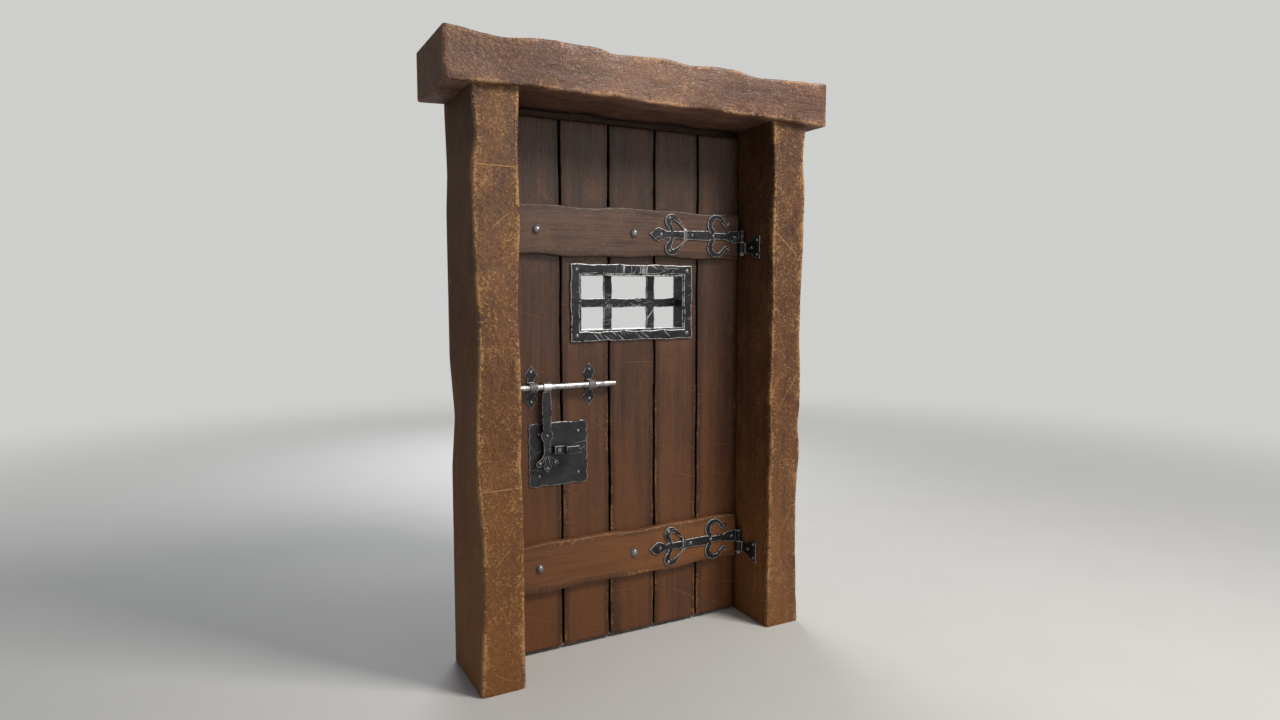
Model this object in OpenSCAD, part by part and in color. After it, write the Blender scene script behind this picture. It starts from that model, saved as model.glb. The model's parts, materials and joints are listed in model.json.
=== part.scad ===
// Ledged plank door with forged ironwork, hung in a hewn post and lintel frame.
// Millimetres. X runs along the lintel, Y from the front to the back, Z up.
// The origin is the middle of the frame's footprint, on the floor.

/* [Frame] */
// Clear width between the posts
opening_w = 1074; // [900:1:1300]
// Clear height under the lintel
opening_h = 2100; // [1950:1:2400]
// Width of a post across the front
post_w = 168; // [140:1:220]
// Depth of a post from front to back
post_d = 343; // [300:1:420]
// Height of the lintel
lintel_h = 175; // [150:1:240]
// How far the lintel runs past the left post
lintel_over_left = 94; // [40:1:150]
// How far the lintel runs past the right post
lintel_over_right = 78; // [40:1:150]
// How far the lintel stands in front of the posts
lintel_front = 28; // [15:1:60]
// How far the lintel stands behind the posts
lintel_back = 2; // [1:1:30]
// How deep the top of a post is let into the lintel
housing = 20; // [12:1:40]
// Radius of the worn arrises on the frame timbers
arris = 9; // [4:1:14]
// Share of the measured hewing dents that is kept
hew = 1; // [0.3:0.1:1.2]
// Depth behind a post's front from which its inner face is planed flat
planed_from = 62; // [45:1:75]
// Width of a tenon along the lintel
tenon_w = 50; // [35:1:70]
// Depth of a tenon from front to back
tenon_d = 170; // [100:1:220]
// Height of a tenon above the shoulder
tenon_h = 85; // [50:1:110]
// Play round a tenon in its mortise
tenon_play = 0.5; // [0.2:0.1:2]
// How far a door stop stands into the opening
stop_t = 24; // [15:1:40]
// Depth of a door stop from front to back
stop_d = 38; // [25:1:40]

/* [Leaf] */
// Distance from the posts' front to the face of the planks
reveal = 232; // [180:1:240]
// Thickness of the planks
plank_t = 64; // [50:1:66]
// Depth of the front layer of a plank, in front of the lap
lap_y = 30; // [20:1:40]
// How far a plank laps behind its neighbour
lap = 12; // [9:1:20]
// Least width of the open joint between two planks
plank_joint = 4; // [3:0.5:8]
// Width from joint to joint of a regular plank, as a share of the leaf's width
plank_share = 0.1953; // [0.18:0.0005:0.2]
// Largest wave along a plank's edge
plank_wave = 3.4; // [0.5:0.1:5]
// Play between the leaf and the post on the lock side
lock_gap = 8; // [7.5:0.5:14]
// Play between the leaf and the post on the hinge side
hinge_gap = 6; // [4:0.5:10]
// Play under the leaf
floor_gap = 12; // [6:1:25]
// Play between the leaf and the lintel
head_gap = 25; // [15:1:40]
// Play between the leaf and the door stops
stop_gap = 0.8; // [0.4:0.1:3]
// Height of a batten
batten_h = 202; // [190:1:230]
// Thickness of a batten
batten_t = 25; // [18:1:28]
// Distance from the batten's ends to the leaf's edges
batten_inset = 14; // [8:1:30]
// Largest wave along a batten's edges
batten_wave = 6; // [1:0.5:9]
// Height of the upper batten's middle, as a share of the opening's height
upper_share = 0.788; // [0.78:0.001:0.8]
// Height of the lower batten's middle, as a share of the opening's height
lower_share = 0.168; // [0.15:0.001:0.175]

/* [Window] */
// Clear width of the window, counted in regular planks
window_share = 2.222; // [2.05:0.002:2.27]
// Clear height of the window
window_h = 212; // [170:1:230]
// How far the window's middle stands to the right of the middle plank's
window_off = 3.5; // [-5:0.5:8]
// Bare wood between the upper batten and the window's band, as a share of the opening's height
window_gap_share = 0.011; // [0.006:0.001:0.016]
// Width of the iron band round the window
band_w = 45; // [35:1:48]
// Thickness of the iron band
band_t = 9; // [5:0.5:12]
// Largest wave along the band's hammered edge
band_wave = 3; // [0.5:0.5:4]
// Wall of the iron sleeve in the window
sleeve_t = 4; // [3:0.5:8]
// Width of a window bar
bar_w = 36; // [20:1:44]
// Thickness of a window bar
bar_t = 11; // [6:1:16]
// Place of the left upright bar from the window's middle, as a share of its width
bar_left = -0.187; // [-0.25:0.001:-0.13]
// Place of the right upright bar from the window's middle, as a share of its width
bar_right = 0.2413; // [0.13:0.0001:0.27]
// Place of the level bar, measured from the window's middle
bar_z = -2; // [-20:1:20]
// Largest wave along a window bar's edges
bar_wave = 1.4; // [0:0.1:2]
// How far the sleeve's rim lies behind the band's face
rim_back = 2; // [0:0.5:3]

/* [Hinges] */
// Length of a strap from its pin to its tip, as a share of the leaf's width
strap_share = 0.4189; // [0.4:0.0001:0.422]
// Thickness of the hinge straps
strap_t = 6; // [4:0.5:8]
// Outside diameter of the hinge knuckles
knuckle_d = 26; // [22:1:28]
// Diameter of the hinge pins
pin_d = 12; // [8:1:14]
// Play round a hinge pin in the strap's eye
pin_play = 0.06; // [0.02:0.01:0.1]
// Height of the eye on a strap
eye_h = 48; // [36:1:56]
// Height of the knuckle on a pintle plate
pintle_h = 44; // [30:1:56]
// Play between the two knuckles of a hinge
hinge_play = 0.4; // [0.3:0.1:0.9]
// Play between a pintle knuckle and the batten behind it
knuckle_play = 2; // [1:0.5:4]
// Thickness of a pintle plate
pintle_t = 6; // [4:0.5:8]
// Length of a pintle plate in front of the pin
pintle_l = 112; // [90:1:130]
// Height of a pintle plate along its front edge
pintle_plate_h = 94; // [80:1:110]

/* [Bolt and hasp] */
// Diameter of the bolt rod
rod_d = 26; // [20:1:28]
// Distance from the window's band down to the rod, as a share of the opening's height
rod_drop_share = 0.08; // [0.07:0.001:0.085]
// Distance from the planks to the middle of the rod
rod_off = 27; // [25:1:32]
// How far the rod runs past the first plank joint
rod_over = 217; // [199:1:229]
// How far the rod stands past the leaf's edge when it is drawn
rod_stub = 1; // [0.5:0.5:2]
// Throw of the rod towards the post
rod_throw = 20; // [12:1:20]
// Depth of the rod's hole in the post beyond the thrown rod
keep_spare = 30; // [10:5:60]
// Play round the rod in its staples
rod_play = 0.4; // [0.3:0.1:0.9]
// Play round the rod in the hasp's eye
hasp_play = 0.06; // [0.02:0.01:0.1]
// Play round the rod in its keeper
keeper_play = 2; // [1:0.5:4]
// Distance of the left staple before the first plank joint
staple_before = 127; // [125:1:133]
// Distance of the right staple behind the first plank joint
staple_after = 116; // [89:1:139]
// Height of a staple's foot from the rod's middle to its tip
staple_h = 84; // [76:1:90]
// Length of a staple's arch along the rod
staple_w = 30; // [22:1:32]
// Thickness of a staple
staple_t = 4; // [3:0.5:6]
// Distance of the hasp before the first plank joint
hasp_before = 73; // [71:1:74]
// Length of the hasp from the rod's middle to its tip
hasp_l = 331; // [328:1:336]
// Width of the hasp's strap at the rod
hasp_w = 32; // [24:1:32]
// Thickness of the hasp
hasp_t = 6; // [4:0.5:7]
// Wall of the hasp's eye round the rod
hasp_eye_t = 4.5; // [3:0.5:6]

/* [Lock plate] */
// Width of the lock plate
plate_w = 236; // [230:1:260]
// Height of the lock plate
plate_h = 240; // [230:1:260]
// Thickness of the lock plate
plate_t = 5; // [3:0.5:6]
// Distance of the plate's middle before the first plank joint
plate_before = 16; // [11:1:21]
// Height of the plate's middle above the hasp's tip
plate_up = 65; // [58:1:70]
// Height of the scallops along the plate's edges
scallop = 5; // [2:0.5:6]
// Distance of the turn button's pivot before the first plank joint
button_before = 21; // [17:1:23]
// Height of the turn button's pivot above the plate's middle
button_up = 19; // [13:1:23]
// Height of the turn button's bar
button_h = 29; // [22:1:32]
// Length of the low tongue of the turn button
tongue_l = 38; // [30:1:38]
// Thickness of the tongue
tongue_t = 22; // [14:1:24]
// Reach of the raised arm from the pivot
arm_reach = 80; // [70:1:90]
// Thickness of the raised arm
arm_t = 17; // [10:1:20]
// Thickness of the riser that carries the arm
riser_t = 15; // [10:1:18]
// Play between the arm and the hasp's rivets
arm_play = 2.5; // [1.5:0.5:5]
// Diameter of the turn button's pivot
pivot_d = 10; // [8:1:12]

/* [Nails and bolts] */
// Diameter of a nail's domed head
nail_head_d = 15; // [10:1:18]
// Height of a nail's domed head
nail_head_h = 5; // [3:0.5:6]
// Diameter of a nail's shank
nail_d = 6; // [4:0.5:8]
// Length of a nail below its head
nail_l = 36; // [28:1:44]
// Diameter of a batten bolt's domed head
bolt_head_d = 34; // [26:1:40]
// Height of a batten bolt's domed head
bolt_head_h = 12; // [8:1:15]
// Diameter of a batten bolt's shank
bolt_d = 12; // [8:1:16]
// Side of the square rove behind the planks
rove_side = 40; // [30:1:50]
// Thickness of the square rove
rove_t = 4; // [3:0.5:6]
// Thickness of the square nut on a rove
nut_t = 10; // [8:1:12]
// Place of the left batten bolts from the first plank's middle
bolt_left = 10; // [-15:1:35]
// Place of the right batten bolts from the middle plank's middle
bolt_right = -3.5; // [-15:0.5:35]

/* [Hidden] */
$fn = 48;

timber = [0.42, 0.28, 0.18];
board = [0.36, 0.25, 0.18];
iron = [0.25, 0.25, 0.27];
steel = [0.62, 0.62, 0.64];
// A small overlap that lets cuts run past a face
past = 1;

// Frame places
lintel_l = lintel_over_left + lintel_over_right + 2 * post_w + opening_w;
lintel_d = lintel_front + post_d + lintel_back;
left_x = -lintel_l / 2 + lintel_over_left;
jamb_left = left_x + post_w;
jamb_right = jamb_left + opening_w;
right_x = jamb_right + post_w;
front_y = -lintel_d / 2 + lintel_front;

// Leaf places
leaf_left = jamb_left + lock_gap;
leaf_right = jamb_right - hinge_gap;
leaf_bottom = floor_gap;
leaf_top = opening_h - head_gap;
face_y = front_y + reveal;
leaf_back = face_y + plank_t;
batten_y = face_y - batten_t;
leaf_w = leaf_right - leaf_left;
plank_pitch = plank_share * leaf_w;
joints_x = [for (i = [4, 3, 2, 1]) leaf_right - i * plank_pitch];
middle_x = leaf_right - 2.5 * plank_pitch;
bolt_x = [(leaf_left + joints_x[0]) / 2 + bolt_left, middle_x + bolt_right];
upper_z = upper_share * opening_h;
lower_z = lower_share * opening_h;

// Window places
window_w = window_share * plank_pitch;
window_x = middle_x + window_off;
window_z = upper_z - batten_h / 2 - window_gap_share * opening_h - band_w - window_h / 2;

// Hinge places
knuckle_r = knuckle_d / 2;
axis_x = jamb_right - knuckle_r - knuckle_play;
axis_y = batten_y - knuckle_r - knuckle_play;

// Bolt places
rod_r = rod_d / 2;
rod_y = face_y - rod_off;
rod_z = window_z - window_h / 2 - band_w - rod_drop_share * opening_h;
rod_end_x = joints_x[0] + rod_over;
hasp_x = joints_x[0] - hasp_before;
plate_x = joints_x[0] - plate_before;
plate_z = rod_z - hasp_l + plate_up;
button_x = joints_x[0] - button_before;
button_z = plate_z + button_up;
rod_start = leaf_left - rod_stub;
keep_depth = rod_throw + rod_stub - lock_gap + keep_spare;
arch_r = rod_r + rod_play + staple_t;
plate_y = face_y - plate_t;
collar_w = 2;
collar_gap = 0.3;
staple_x = [joints_x[0] - staple_before, joints_x[0] + staple_after];
arm_base = plate_y - (rod_y - hasp_t / 2 - nail_head_h - arm_play);

// Hewing dents as [share of the length, depth], read along each worn edge
left_outer = [[0, 0], [0.14, 16], [0.265, 17], [0.365, 0], [0.455, 1], [0.57, 15], [0.625, 13],
              [0.745, 3], [0.85, 0], [0.885, 1], [0.912, 18], [0.99, 0]];
left_inner = [[0, 2], [0.31, 3], [0.38, 9], [0.47, 2], [0.655, 13], [0.775, 0], [0.905, 8], [0.985, 0]];
left_rear = [[0, 0], [0.36, 2], [0.45, 16], [0.555, 0], [0.815, 0], [0.87, 6], [0.98, 0]];
right_outer = [[0, 4], [0.257, 21], [0.36, 2], [0.4, 14], [0.453, 2], [0.597, 13], [0.745, 1],
               [0.87, 0], [0.925, 14], [0.99, 0]];
right_inner = [[0, 0], [0.185, 6], [0.312, 1], [0.348, 15], [0.473, 1], [0.65, 14], [0.745, 6],
               [0.875, 9], [0.985, 0]];
right_rear = [[0, 0], [0.3, 9], [0.42, 0], [0.7, 12], [0.82, 2], [0.98, 0]];
lintel_top = [[0.01, 0], [0.127, 17], [0.214, 0], [0.353, 0], [0.384, 13], [0.521, 1], [0.58, 13],
              [0.657, 1], [0.718, 0], [0.778, 18], [0.99, 0]];
lintel_under = [[0.01, 0], [0.132, 8], [0.188, 12], [0.265, 8], [0.366, 10], [0.387, 17], [0.458, 6],
                [0.587, 6], [0.65, 13], [0.717, 6], [0.792, 10], [0.99, 0]];
lintel_face = [[0.01, 0], [0.1, 5], [0.24, 1], [0.4, 7], [0.55, 2], [0.7, 7], [0.86, 1], [0.99, 0]];
post_face = [[0, 0], [0.12, 5], [0.25, 1], [0.42, 6], [0.55, 2], [0.72, 6], [0.88, 1], [0.985, 0]];
hew_rings = 44;
hew_blend = 0.012;

// Depth of a hewn edge at a share of its length, with the corners of its table worn off
function dent(table, t) =
    hew * (lookup(t - hew_blend, table) + 2 * lookup(t, table) + lookup(t + hew_blend, table)) / 4;

// Three points round a worn arris
function worn(cx, cy, from) = [for (k = [0:2])
    [cx + arris * cos(from + 45 * k), cy + arris * sin(from + 45 * k)]];

// Faces of a skin over rings of n points each
function skin_faces(rings, n) = concat(
    [for (r = [0:rings - 2], i = [0:n - 1]) [r * n + i, (r + 1) * n + i, (r + 1) * n + (i + 1) % n]],
    [for (r = [0:rings - 2], i = [0:n - 1]) [r * n + i, (r + 1) * n + (i + 1) % n, r * n + (i + 1) % n]],
    [[for (i = [0:n - 1]) i]],
    [[for (i = [n - 1:-1:0]) (rings - 1) * n + i]]);

// Section of a post: outer face at 0, inner face at post_w, front at 0
function post_ring(t, outer, inner, rear) =
    let (a = dent(outer, t), b = post_w - dent(inner, t), c = dent(rear, t), f = dent(post_face, t))
    concat(worn(a + arris, f + arris, 180), worn(b - arris, f + arris, 270), [[post_w, planed_from]],
           worn(post_w - arris, post_d - arris, 0), worn(c + arris, post_d - arris, 90));

// Section of the lintel in Y and Z, above its nominal underside
function lintel_ring(t) =
    let (u = dent(lintel_under, t), h = lintel_h - dent(lintel_top, t), f = dent(lintel_face, t))
    concat(worn(f + arris, u + arris, 180), worn(lintel_d - arris, u + arris, 270),
           worn(lintel_d - arris, h - arris, 0), worn(f + arris, h - arris, 90));

// A hewn post with its tenon, outer face at X 0
module hewn_post(outer, inner, rear) {
    top = opening_h + housing;
    rings = [for (r = [0:hew_rings]) post_ring(r / hew_rings, outer, inner, rear)];
    polyhedron(
        [for (r = [0:hew_rings], p = rings[r]) [p[0], p[1], top * r / hew_rings]],
        skin_faces(hew_rings + 1, len(rings[0])));
    translate([(post_w - tenon_w) / 2, (post_d - tenon_d) / 2, top - past])
        cube([tenon_w, tenon_d, tenon_h + past]);
}

module left_post() {
    color(timber)
    difference() {
        translate([left_x, front_y, 0])
            hewn_post(left_outer, left_inner, left_rear);
        translate([jamb_left - keep_depth, rod_y, rod_z])
            rotate([0, 90, 0])
                cylinder(d = rod_d + 2 * keeper_play, h = keep_depth + past);
        translate([jamb_left - keeper_t, rod_y - keeper_w / 2, rod_z - keeper_h / 2])
            cube([keeper_t + past, keeper_w, keeper_h]);
    }
}

module right_post() {
    color(timber)
    translate([right_x, front_y, 0])
        mirror([1, 0, 0])
            hewn_post(right_outer, right_inner, right_rear);
}

module lintel() {
    rings = [for (r = [0:hew_rings]) lintel_ring(r / hew_rings)];
    color(timber)
    difference() {
        translate([-lintel_l / 2, -lintel_d / 2, opening_h])
            polyhedron(
                [for (r = [0:hew_rings], p = rings[r]) [lintel_l * r / hew_rings, p[0], p[1]]],
                skin_faces(hew_rings + 1, len(rings[0])));
        for (x = [left_x, jamb_right]) {
            translate([x, front_y, opening_h - past])
                cube([post_w, post_d + lintel_back + past, housing + past]);
            translate([x + (post_w - tenon_w) / 2 - tenon_play,
                       front_y + (post_d - tenon_d) / 2 - tenon_play,
                       opening_h + housing - past])
                cube([tenon_w + 2 * tenon_play, tenon_d + 2 * tenon_play, tenon_h + tenon_play + past]);
        }
    }
}

// Door stops behind the leaf
stop_y = leaf_back + stop_gap;

// The stops' upper ends follow the hewn underside of the lintel
head_stop_h = head_gap + stop_t;
scribe_gap = 0.5;

// Depth of the lintel's underside between two of its rings
function under_line(t) =
    let (r = floor(t * hew_rings), f = t * hew_rings - r)
    (1 - f) * dent(lintel_under, r / hew_rings) + f * dent(lintel_under, (r + 1) / hew_rings);

// A stop board between two places along the opening, from its foot up to the lintel
module stop_board(from, to, foot) {
    rings = [for (r = [0:hew_rings])
             let (x = lintel_l * (r / hew_rings - 0.5))
             if (x > from && x < to) x];
    scribe = [for (x = concat([from], rings, [to]))
              [x, opening_h + under_line(x / lintel_l + 0.5) - scribe_gap]];
    color(board)
    translate([0, stop_y + stop_d, 0])
        rotate([90, 0, 0])
            linear_extrude(stop_d)
                polygon(concat(scribe, [[to, foot], [from, foot]]));
}

module left_stop() {
    stop_board(jamb_left, jamb_left + stop_t, 0);
}

module right_stop() {
    stop_board(jamb_right - stop_t, jamb_right, 0);
}

module head_stop() {
    stop_board(jamb_left + stop_t, jamb_right - stop_t, opening_h - head_stop_h);
}

// A nail with a domed head, seated at the origin, its shank running into +Y
module nail(head = nail_head_d, length = nail_l) {
    dome_r = (pow(head / 2, 2) + pow(nail_head_h, 2)) / (2 * nail_head_h);
    rotate([90, 0, 0]) {
        intersection() {
            translate([0, 0, nail_head_h - dome_r])
                sphere(dome_r);
            cylinder(d = head, h = nail_head_h + past);
        }
        translate([0, 0, -length])
            cylinder(d = nail_d, h = length);
    }
}

// Hole that a nail passes through in an iron plate, along Y from the origin
module nail_hole(depth) {
    translate([0, depth + past, 0])
        rotate([90, 0, 0])
            cylinder(d = nail_d, h = depth + 2 * past);
}

// Nails through the side stops into the posts, and up through the head stop
stop_nail_rows = 4;
stop_head_d = 11;
stop_nail_bite = 20;

module stop_nails() {
    y = stop_y + stop_d / 2;
    color(iron) {
        for (i = [0:stop_nail_rows - 1]) {
            z = opening_h * (i + 0.5) / stop_nail_rows;
            translate([jamb_left + stop_t, y, z])
                rotate([0, 0, 90])
                    nail(stop_head_d, stop_t + stop_nail_bite);
            translate([jamb_right - stop_t, y, z])
                rotate([0, 0, -90])
                    nail(stop_head_d, stop_t + stop_nail_bite);
        }
        for (i = [-1, 0, 1])
            translate([jamb_left + opening_w / 2 + i * opening_w / 3, y, opening_h - head_stop_h])
                rotate([90, 0, 0])
                    nail(stop_head_d, head_stop_h + stop_nail_bite);
    }
}

// Keeper plate let flush into the left post, with the hole for the rod
keeper_t = 4;
keeper_w = 64;
keeper_h = 96;
keeper_nail_z = keeper_h * 0.36;

module bolt_keeper() {
    color(iron)
    translate([jamb_left - keeper_t, rod_y, rod_z])
        rotate([0, 90, 0])
            difference() {
                linear_extrude(keeper_t)
                    square([keeper_h, keeper_w], center = true);
                translate([0, 0, -past])
                    cylinder(d = rod_d + 2 * keeper_play, h = keeper_t + 2 * past);
                for (s = [-1, 1])
                    translate([s * keeper_nail_z, 0, -past])
                        cylinder(d = nail_d, h = keeper_t + 2 * past);
            }
}

module keeper_nails() {
    color(iron)
    for (s = [-1, 1])
        translate([jamb_left - nail_l, rod_y, rod_z + s * keeper_nail_z])
            rotate([0, 90, 0])
                cylinder(d = nail_d, h = nail_l);
}

// Length of the level neck that joins a pintle plate to its knuckle
neck = knuckle_r + 4;
// Foot below a pintle's knuckle, with a ring round it
foot_h = 12;
ring_h = 4;

// Outline of a pintle plate in Y and Z: flared to the front, necked at the knuckle
function pintle_outline() =
    let (f = axis_y - pintle_l, h = pintle_plate_h / 2, n = pintle_h / 2)
    [[f, -h], [f + 0.34 * pintle_l, -0.86 * h], [f + 0.5 * pintle_l, -0.6 * h],
     [axis_y - neck, -n], [axis_y, -n], [axis_y, n], [axis_y - neck, n],
     [f + 0.5 * pintle_l, 0.6 * h], [f + 0.34 * pintle_l, 0.86 * h], [f, h]];

// Places of the nails on a pintle plate, from the pin and the knuckle's middle
pintle_nail_places = [[0.84, 0.64], [0.5, 0], [0.84, -0.64]];
pintle_drop = eye_h / 2 + hinge_play + pintle_h / 2;

// Flared plate on the right post with the lower knuckle and its foot ring
module pintle(z) {
    translate([0, 0, z - pintle_drop])
    difference() {
        union() {
            translate([jamb_right, 0, 0])
                rotate([0, -90, 0])
                    linear_extrude(pintle_t)
                        polygon([for (p = pintle_outline()) [p[1], p[0]]]);
            translate([axis_x, axis_y, -pintle_h / 2])
                cylinder(r = knuckle_r, h = pintle_h);
            translate([axis_x, axis_y, -pintle_h / 2 - foot_h])
                cylinder(r = knuckle_r * 0.78, h = foot_h);
            translate([axis_x, axis_y, -pintle_h / 2 - 2 * ring_h])
                cylinder(r = knuckle_r * 0.95, h = ring_h);
            translate([axis_x, axis_y - knuckle_r, -pintle_h / 2])
                cube([jamb_right - axis_x, 2 * knuckle_r - 4, pintle_h]);
        }
        translate([axis_x, axis_y, -pintle_h])
            cylinder(d = pin_d, h = 2 * pintle_h);
        for (p = pintle_nail_places)
            translate([jamb_right - pintle_t, axis_y - p[0] * pintle_l, p[1] * pintle_plate_h / 2])
                rotate([0, 0, -90])
                    nail_hole(pintle_t);
    }
}

module upper_pintle() {
    color(iron)
    pintle(upper_z);
}

module lower_pintle() {
    color(iron)
    pintle(lower_z);
}

module pintle_nails() {
    color(iron)
    for (z = [upper_z, lower_z], p = pintle_nail_places)
        translate([jamb_right - pintle_t, axis_y - p[0] * pintle_l,
                   z - pintle_drop + p[1] * pintle_plate_h / 2])
            rotate([0, 0, -90])
                nail();
}

// Pins fixed in the pintle knuckles, with a low dome over the strap's eye
module hinge_pins() {
    top = eye_h / 2 + hinge_play;
    pin_foot = top + pintle_h + foot_h;
    color(iron)
    for (z = [upper_z, lower_z])
        translate([axis_x, axis_y, z]) {
            translate([0, 0, -pin_foot])
                cylinder(d = pin_d, h = pin_foot + top);
            translate([0, 0, top])
                rotate_extrude()
                    polygon([[0, 0], [knuckle_r * 0.8, 0], [knuckle_r * 0.72, 2],
                             [knuckle_r * 0.4, 4], [0, 4.6]]);
        }
}

// Slow wave of a plank's edge, different for each joint
function edge_wave(z, k) =
    plank_wave * (0.5 + 0.3 * sin(0.42 * z + 97 * k) + 0.2 * sin(1.13 * z + 211 * k));

plank_steps = 34;
function plank_z(i) = leaf_bottom + (leaf_top - leaf_bottom) * i / plank_steps;

// Left and right edge of plank number k, from 0 at the lock side to 4 at the hinges
function plank_left(k) = k == 0 ? leaf_left : joints_x[k - 1];
function plank_right(k) = k == 4 ? leaf_right : joints_x[k];

// One lapped plank: a front layer with waved edges and a straight layer behind the joint
module plank(k) {
    half = plank_joint / 2;
    x0 = plank_left(k);
    x1 = plank_right(k);
    inner_left = k == 0 ? 0 : 1;
    inner_right = k == 4 ? 0 : 1;
    back0 = x0 + inner_left * (lap + 0.2);
    back1 = x1 + inner_right * (lap - 0.2);
    left_edge = [for (i = [0:plank_steps])
                 [x0 + inner_left * (half + edge_wave(plank_z(i), k)), plank_z(i)]];
    right_edge = [for (i = [plank_steps:-1:0])
                  [x1 - inner_right * (half + edge_wave(plank_z(i), k + 7)), plank_z(i)]];
    translate([0, face_y + lap_y, 0])
        rotate([90, 0, 0])
            linear_extrude(lap_y)
                polygon(concat(left_edge, right_edge));
    translate([back0, face_y + lap_y, leaf_bottom])
        cube([back1 - back0, plank_t - lap_y, leaf_top - leaf_bottom]);
}

// Hole through the planks for the window's sleeve
sleeve_play = 0.3;

module window_hole() {
    w = window_w + 2 * (sleeve_t + sleeve_play);
    h = window_h + 2 * (sleeve_t + sleeve_play);
    translate([window_x - w / 2, face_y - past, window_z - h / 2])
        cube([w, plank_t + 2 * past, h]);
}

// Holes for the batten bolts
module bolt_holes() {
    for (x = bolt_x, z = [upper_z, lower_z])
        translate([x, batten_y - past, z])
            rotate([-90, 0, 0])
                cylinder(d = bolt_d, h = batten_t + plank_t + 2 * past);
}

module plank_1() {
    color(board)
    difference() {
        plank(0);
        bolt_holes();
    }
}

module plank_2() {
    color(board)
    difference() {
        plank(1);
        window_hole();
    }
}

// The middle plank is sawn through by the window
module plank_3_top() {
    color(board)
    difference() {
        plank(2);
        window_hole();
        bolt_holes();
        translate([plank_left(2) - plank_pitch, face_y - past, 0])
            cube([3 * plank_pitch, plank_t + 2 * past, window_z]);
    }
}

module plank_3_foot() {
    color(board)
    difference() {
        plank(2);
        window_hole();
        bolt_holes();
        translate([plank_left(2) - plank_pitch, face_y - past, window_z])
            cube([3 * plank_pitch, plank_t + 2 * past, leaf_top]);
    }
}

module plank_4() {
    color(board)
    difference() {
        plank(3);
        window_hole();
    }
}

module plank_5() {
    color(board)
    plank(4);
}

// Wave along a batten's long edges
function ledge_wave(x, k) =
    batten_wave * (0.55 * sin(0.62 * x + 60 * k) + 0.45 * sin(1.31 * x + 145 * k) - 1);

batten_steps = 40;

module batten(z, k) {
    x0 = leaf_left + batten_inset;
    x1 = leaf_right - batten_inset;
    xs = [for (i = [0:batten_steps]) x0 + (x1 - x0) * i / batten_steps];
    upper = [for (x = xs) [x, batten_h / 2 + ledge_wave(x, k)]];
    lower = [for (i = [batten_steps:-1:0]) [xs[i], -batten_h / 2 - ledge_wave(xs[i], k + 2)]];
    difference() {
        translate([0, face_y, z])
            rotate([90, 0, 0])
                linear_extrude(batten_t)
                    polygon(concat(upper, lower));
        bolt_holes();
    }
}

module upper_batten() {
    color(board)
    batten(upper_z, 1);
}

module lower_batten() {
    color(board)
    batten(lower_z, 4);
}

// How far a batten bolt's end stands out of its nut
bolt_end = 3;
bolt_l = batten_t + plank_t + rove_t + nut_t + bolt_end;

// Dome-headed bolts through the battens and planks
module batten_bolts() {
    dome_r = (pow(bolt_head_d / 2, 2) + pow(bolt_head_h, 2)) / (2 * bolt_head_h);
    color(iron)
    for (x = bolt_x, z = [upper_z, lower_z])
        translate([x, batten_y, z])
            rotate([90, 0, 0]) {
                intersection() {
                    translate([0, 0, bolt_head_h - dome_r])
                        sphere(dome_r);
                    cylinder(d = bolt_head_d, h = bolt_head_h + past);
                }
                translate([0, 0, -bolt_l])
                    cylinder(d = bolt_d, h = bolt_l);
            }
}

// Square roves and nuts on the back of the planks
module bolt_roves() {
    color(iron)
    for (x = bolt_x, z = [upper_z, lower_z])
        translate([x, leaf_back, z])
            rotate([-90, 0, 0])
                difference() {
                    union() {
                        linear_extrude(rove_t)
                            square(rove_side, center = true);
                        linear_extrude(rove_t + nut_t)
                            square(bolt_d * 1.9, center = true);
                    }
                    translate([0, 0, -past])
                        cylinder(d = bolt_d, h = rove_t + nut_t + 2 * past);
                }
}

// Nails from the back that hold each plank to each batten
plank_nail_dx = 42;
plank_nail_dz = 58;
plank_nail_head_d = 13;

module plank_nails() {
    color(iron)
    for (k = [0:4], z = [upper_z, lower_z], s = [-1, 1])
        translate([(plank_left(k) + plank_right(k)) / 2 + s * plank_nail_dx, leaf_back,
                   z + s * plank_nail_dz])
            rotate([0, 0, 180])
                nail(plank_nail_head_d, plank_t + batten_t * 0.7);
}

// Outline of a band that runs along points [x, z, half width]
function band_normal(path, i) =
    let (a = path[max(i - 1, 0)], b = path[min(i + 1, len(path) - 1)], d = [b[0] - a[0], b[1] - a[1]])
    [-d[1], d[0]] / norm(d);
function band_side(path, i, s) = [path[i][0], path[i][1]] + s * path[i][2] * band_normal(path, i);
function band_outline(path) = concat(
    [for (i = [0:len(path) - 1]) band_side(path, i, 1)],
    [for (i = [len(path) - 1:-1:0]) band_side(path, i, -1)]);

// Points along an arc, its half width running from w0 to w1
function arc_path(c, r, from, to, w0, w1, steps) = [for (i = [0:steps])
    let (t = i / steps, a = from + (to - from) * t)
    [c[0] + r * cos(a), c[1] + r * sin(a), w0 + (w1 - w0) * t]];

// The strap's outline is drawn for a strap 444 long on a batten 202 high, and scaled to its own
strap_l = strap_share * leaf_w;
strap_scale = [strap_l / 444, batten_h / 202];
function strap_points(points) = [for (p = points) [p[0] * strap_scale[0], p[1] * strap_scale[1]]];

// Scroll beside the strap: a fat bow that thins out and turns back in a small curl
scroll_c = [-121, 45];
scroll_r = 34;
curl_r = 12;
scroll_exit = 38;
scroll_run = 20;
curl_c = scroll_c + scroll_r * [cos(scroll_exit), sin(scroll_exit)]
    + scroll_run * [sin(scroll_exit), -cos(scroll_exit)] + curl_r * [cos(scroll_exit), sin(scroll_exit)];
scroll_path = concat(
    arc_path(scroll_c, scroll_r, 245, 160, 10, 13, 8),
    arc_path(scroll_c, scroll_r, 150, scroll_exit, 13, 7.5, 10),
    arc_path(curl_c, curl_r, scroll_exit + 180, scroll_exit + 330, 6.5, 4, 10));

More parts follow.
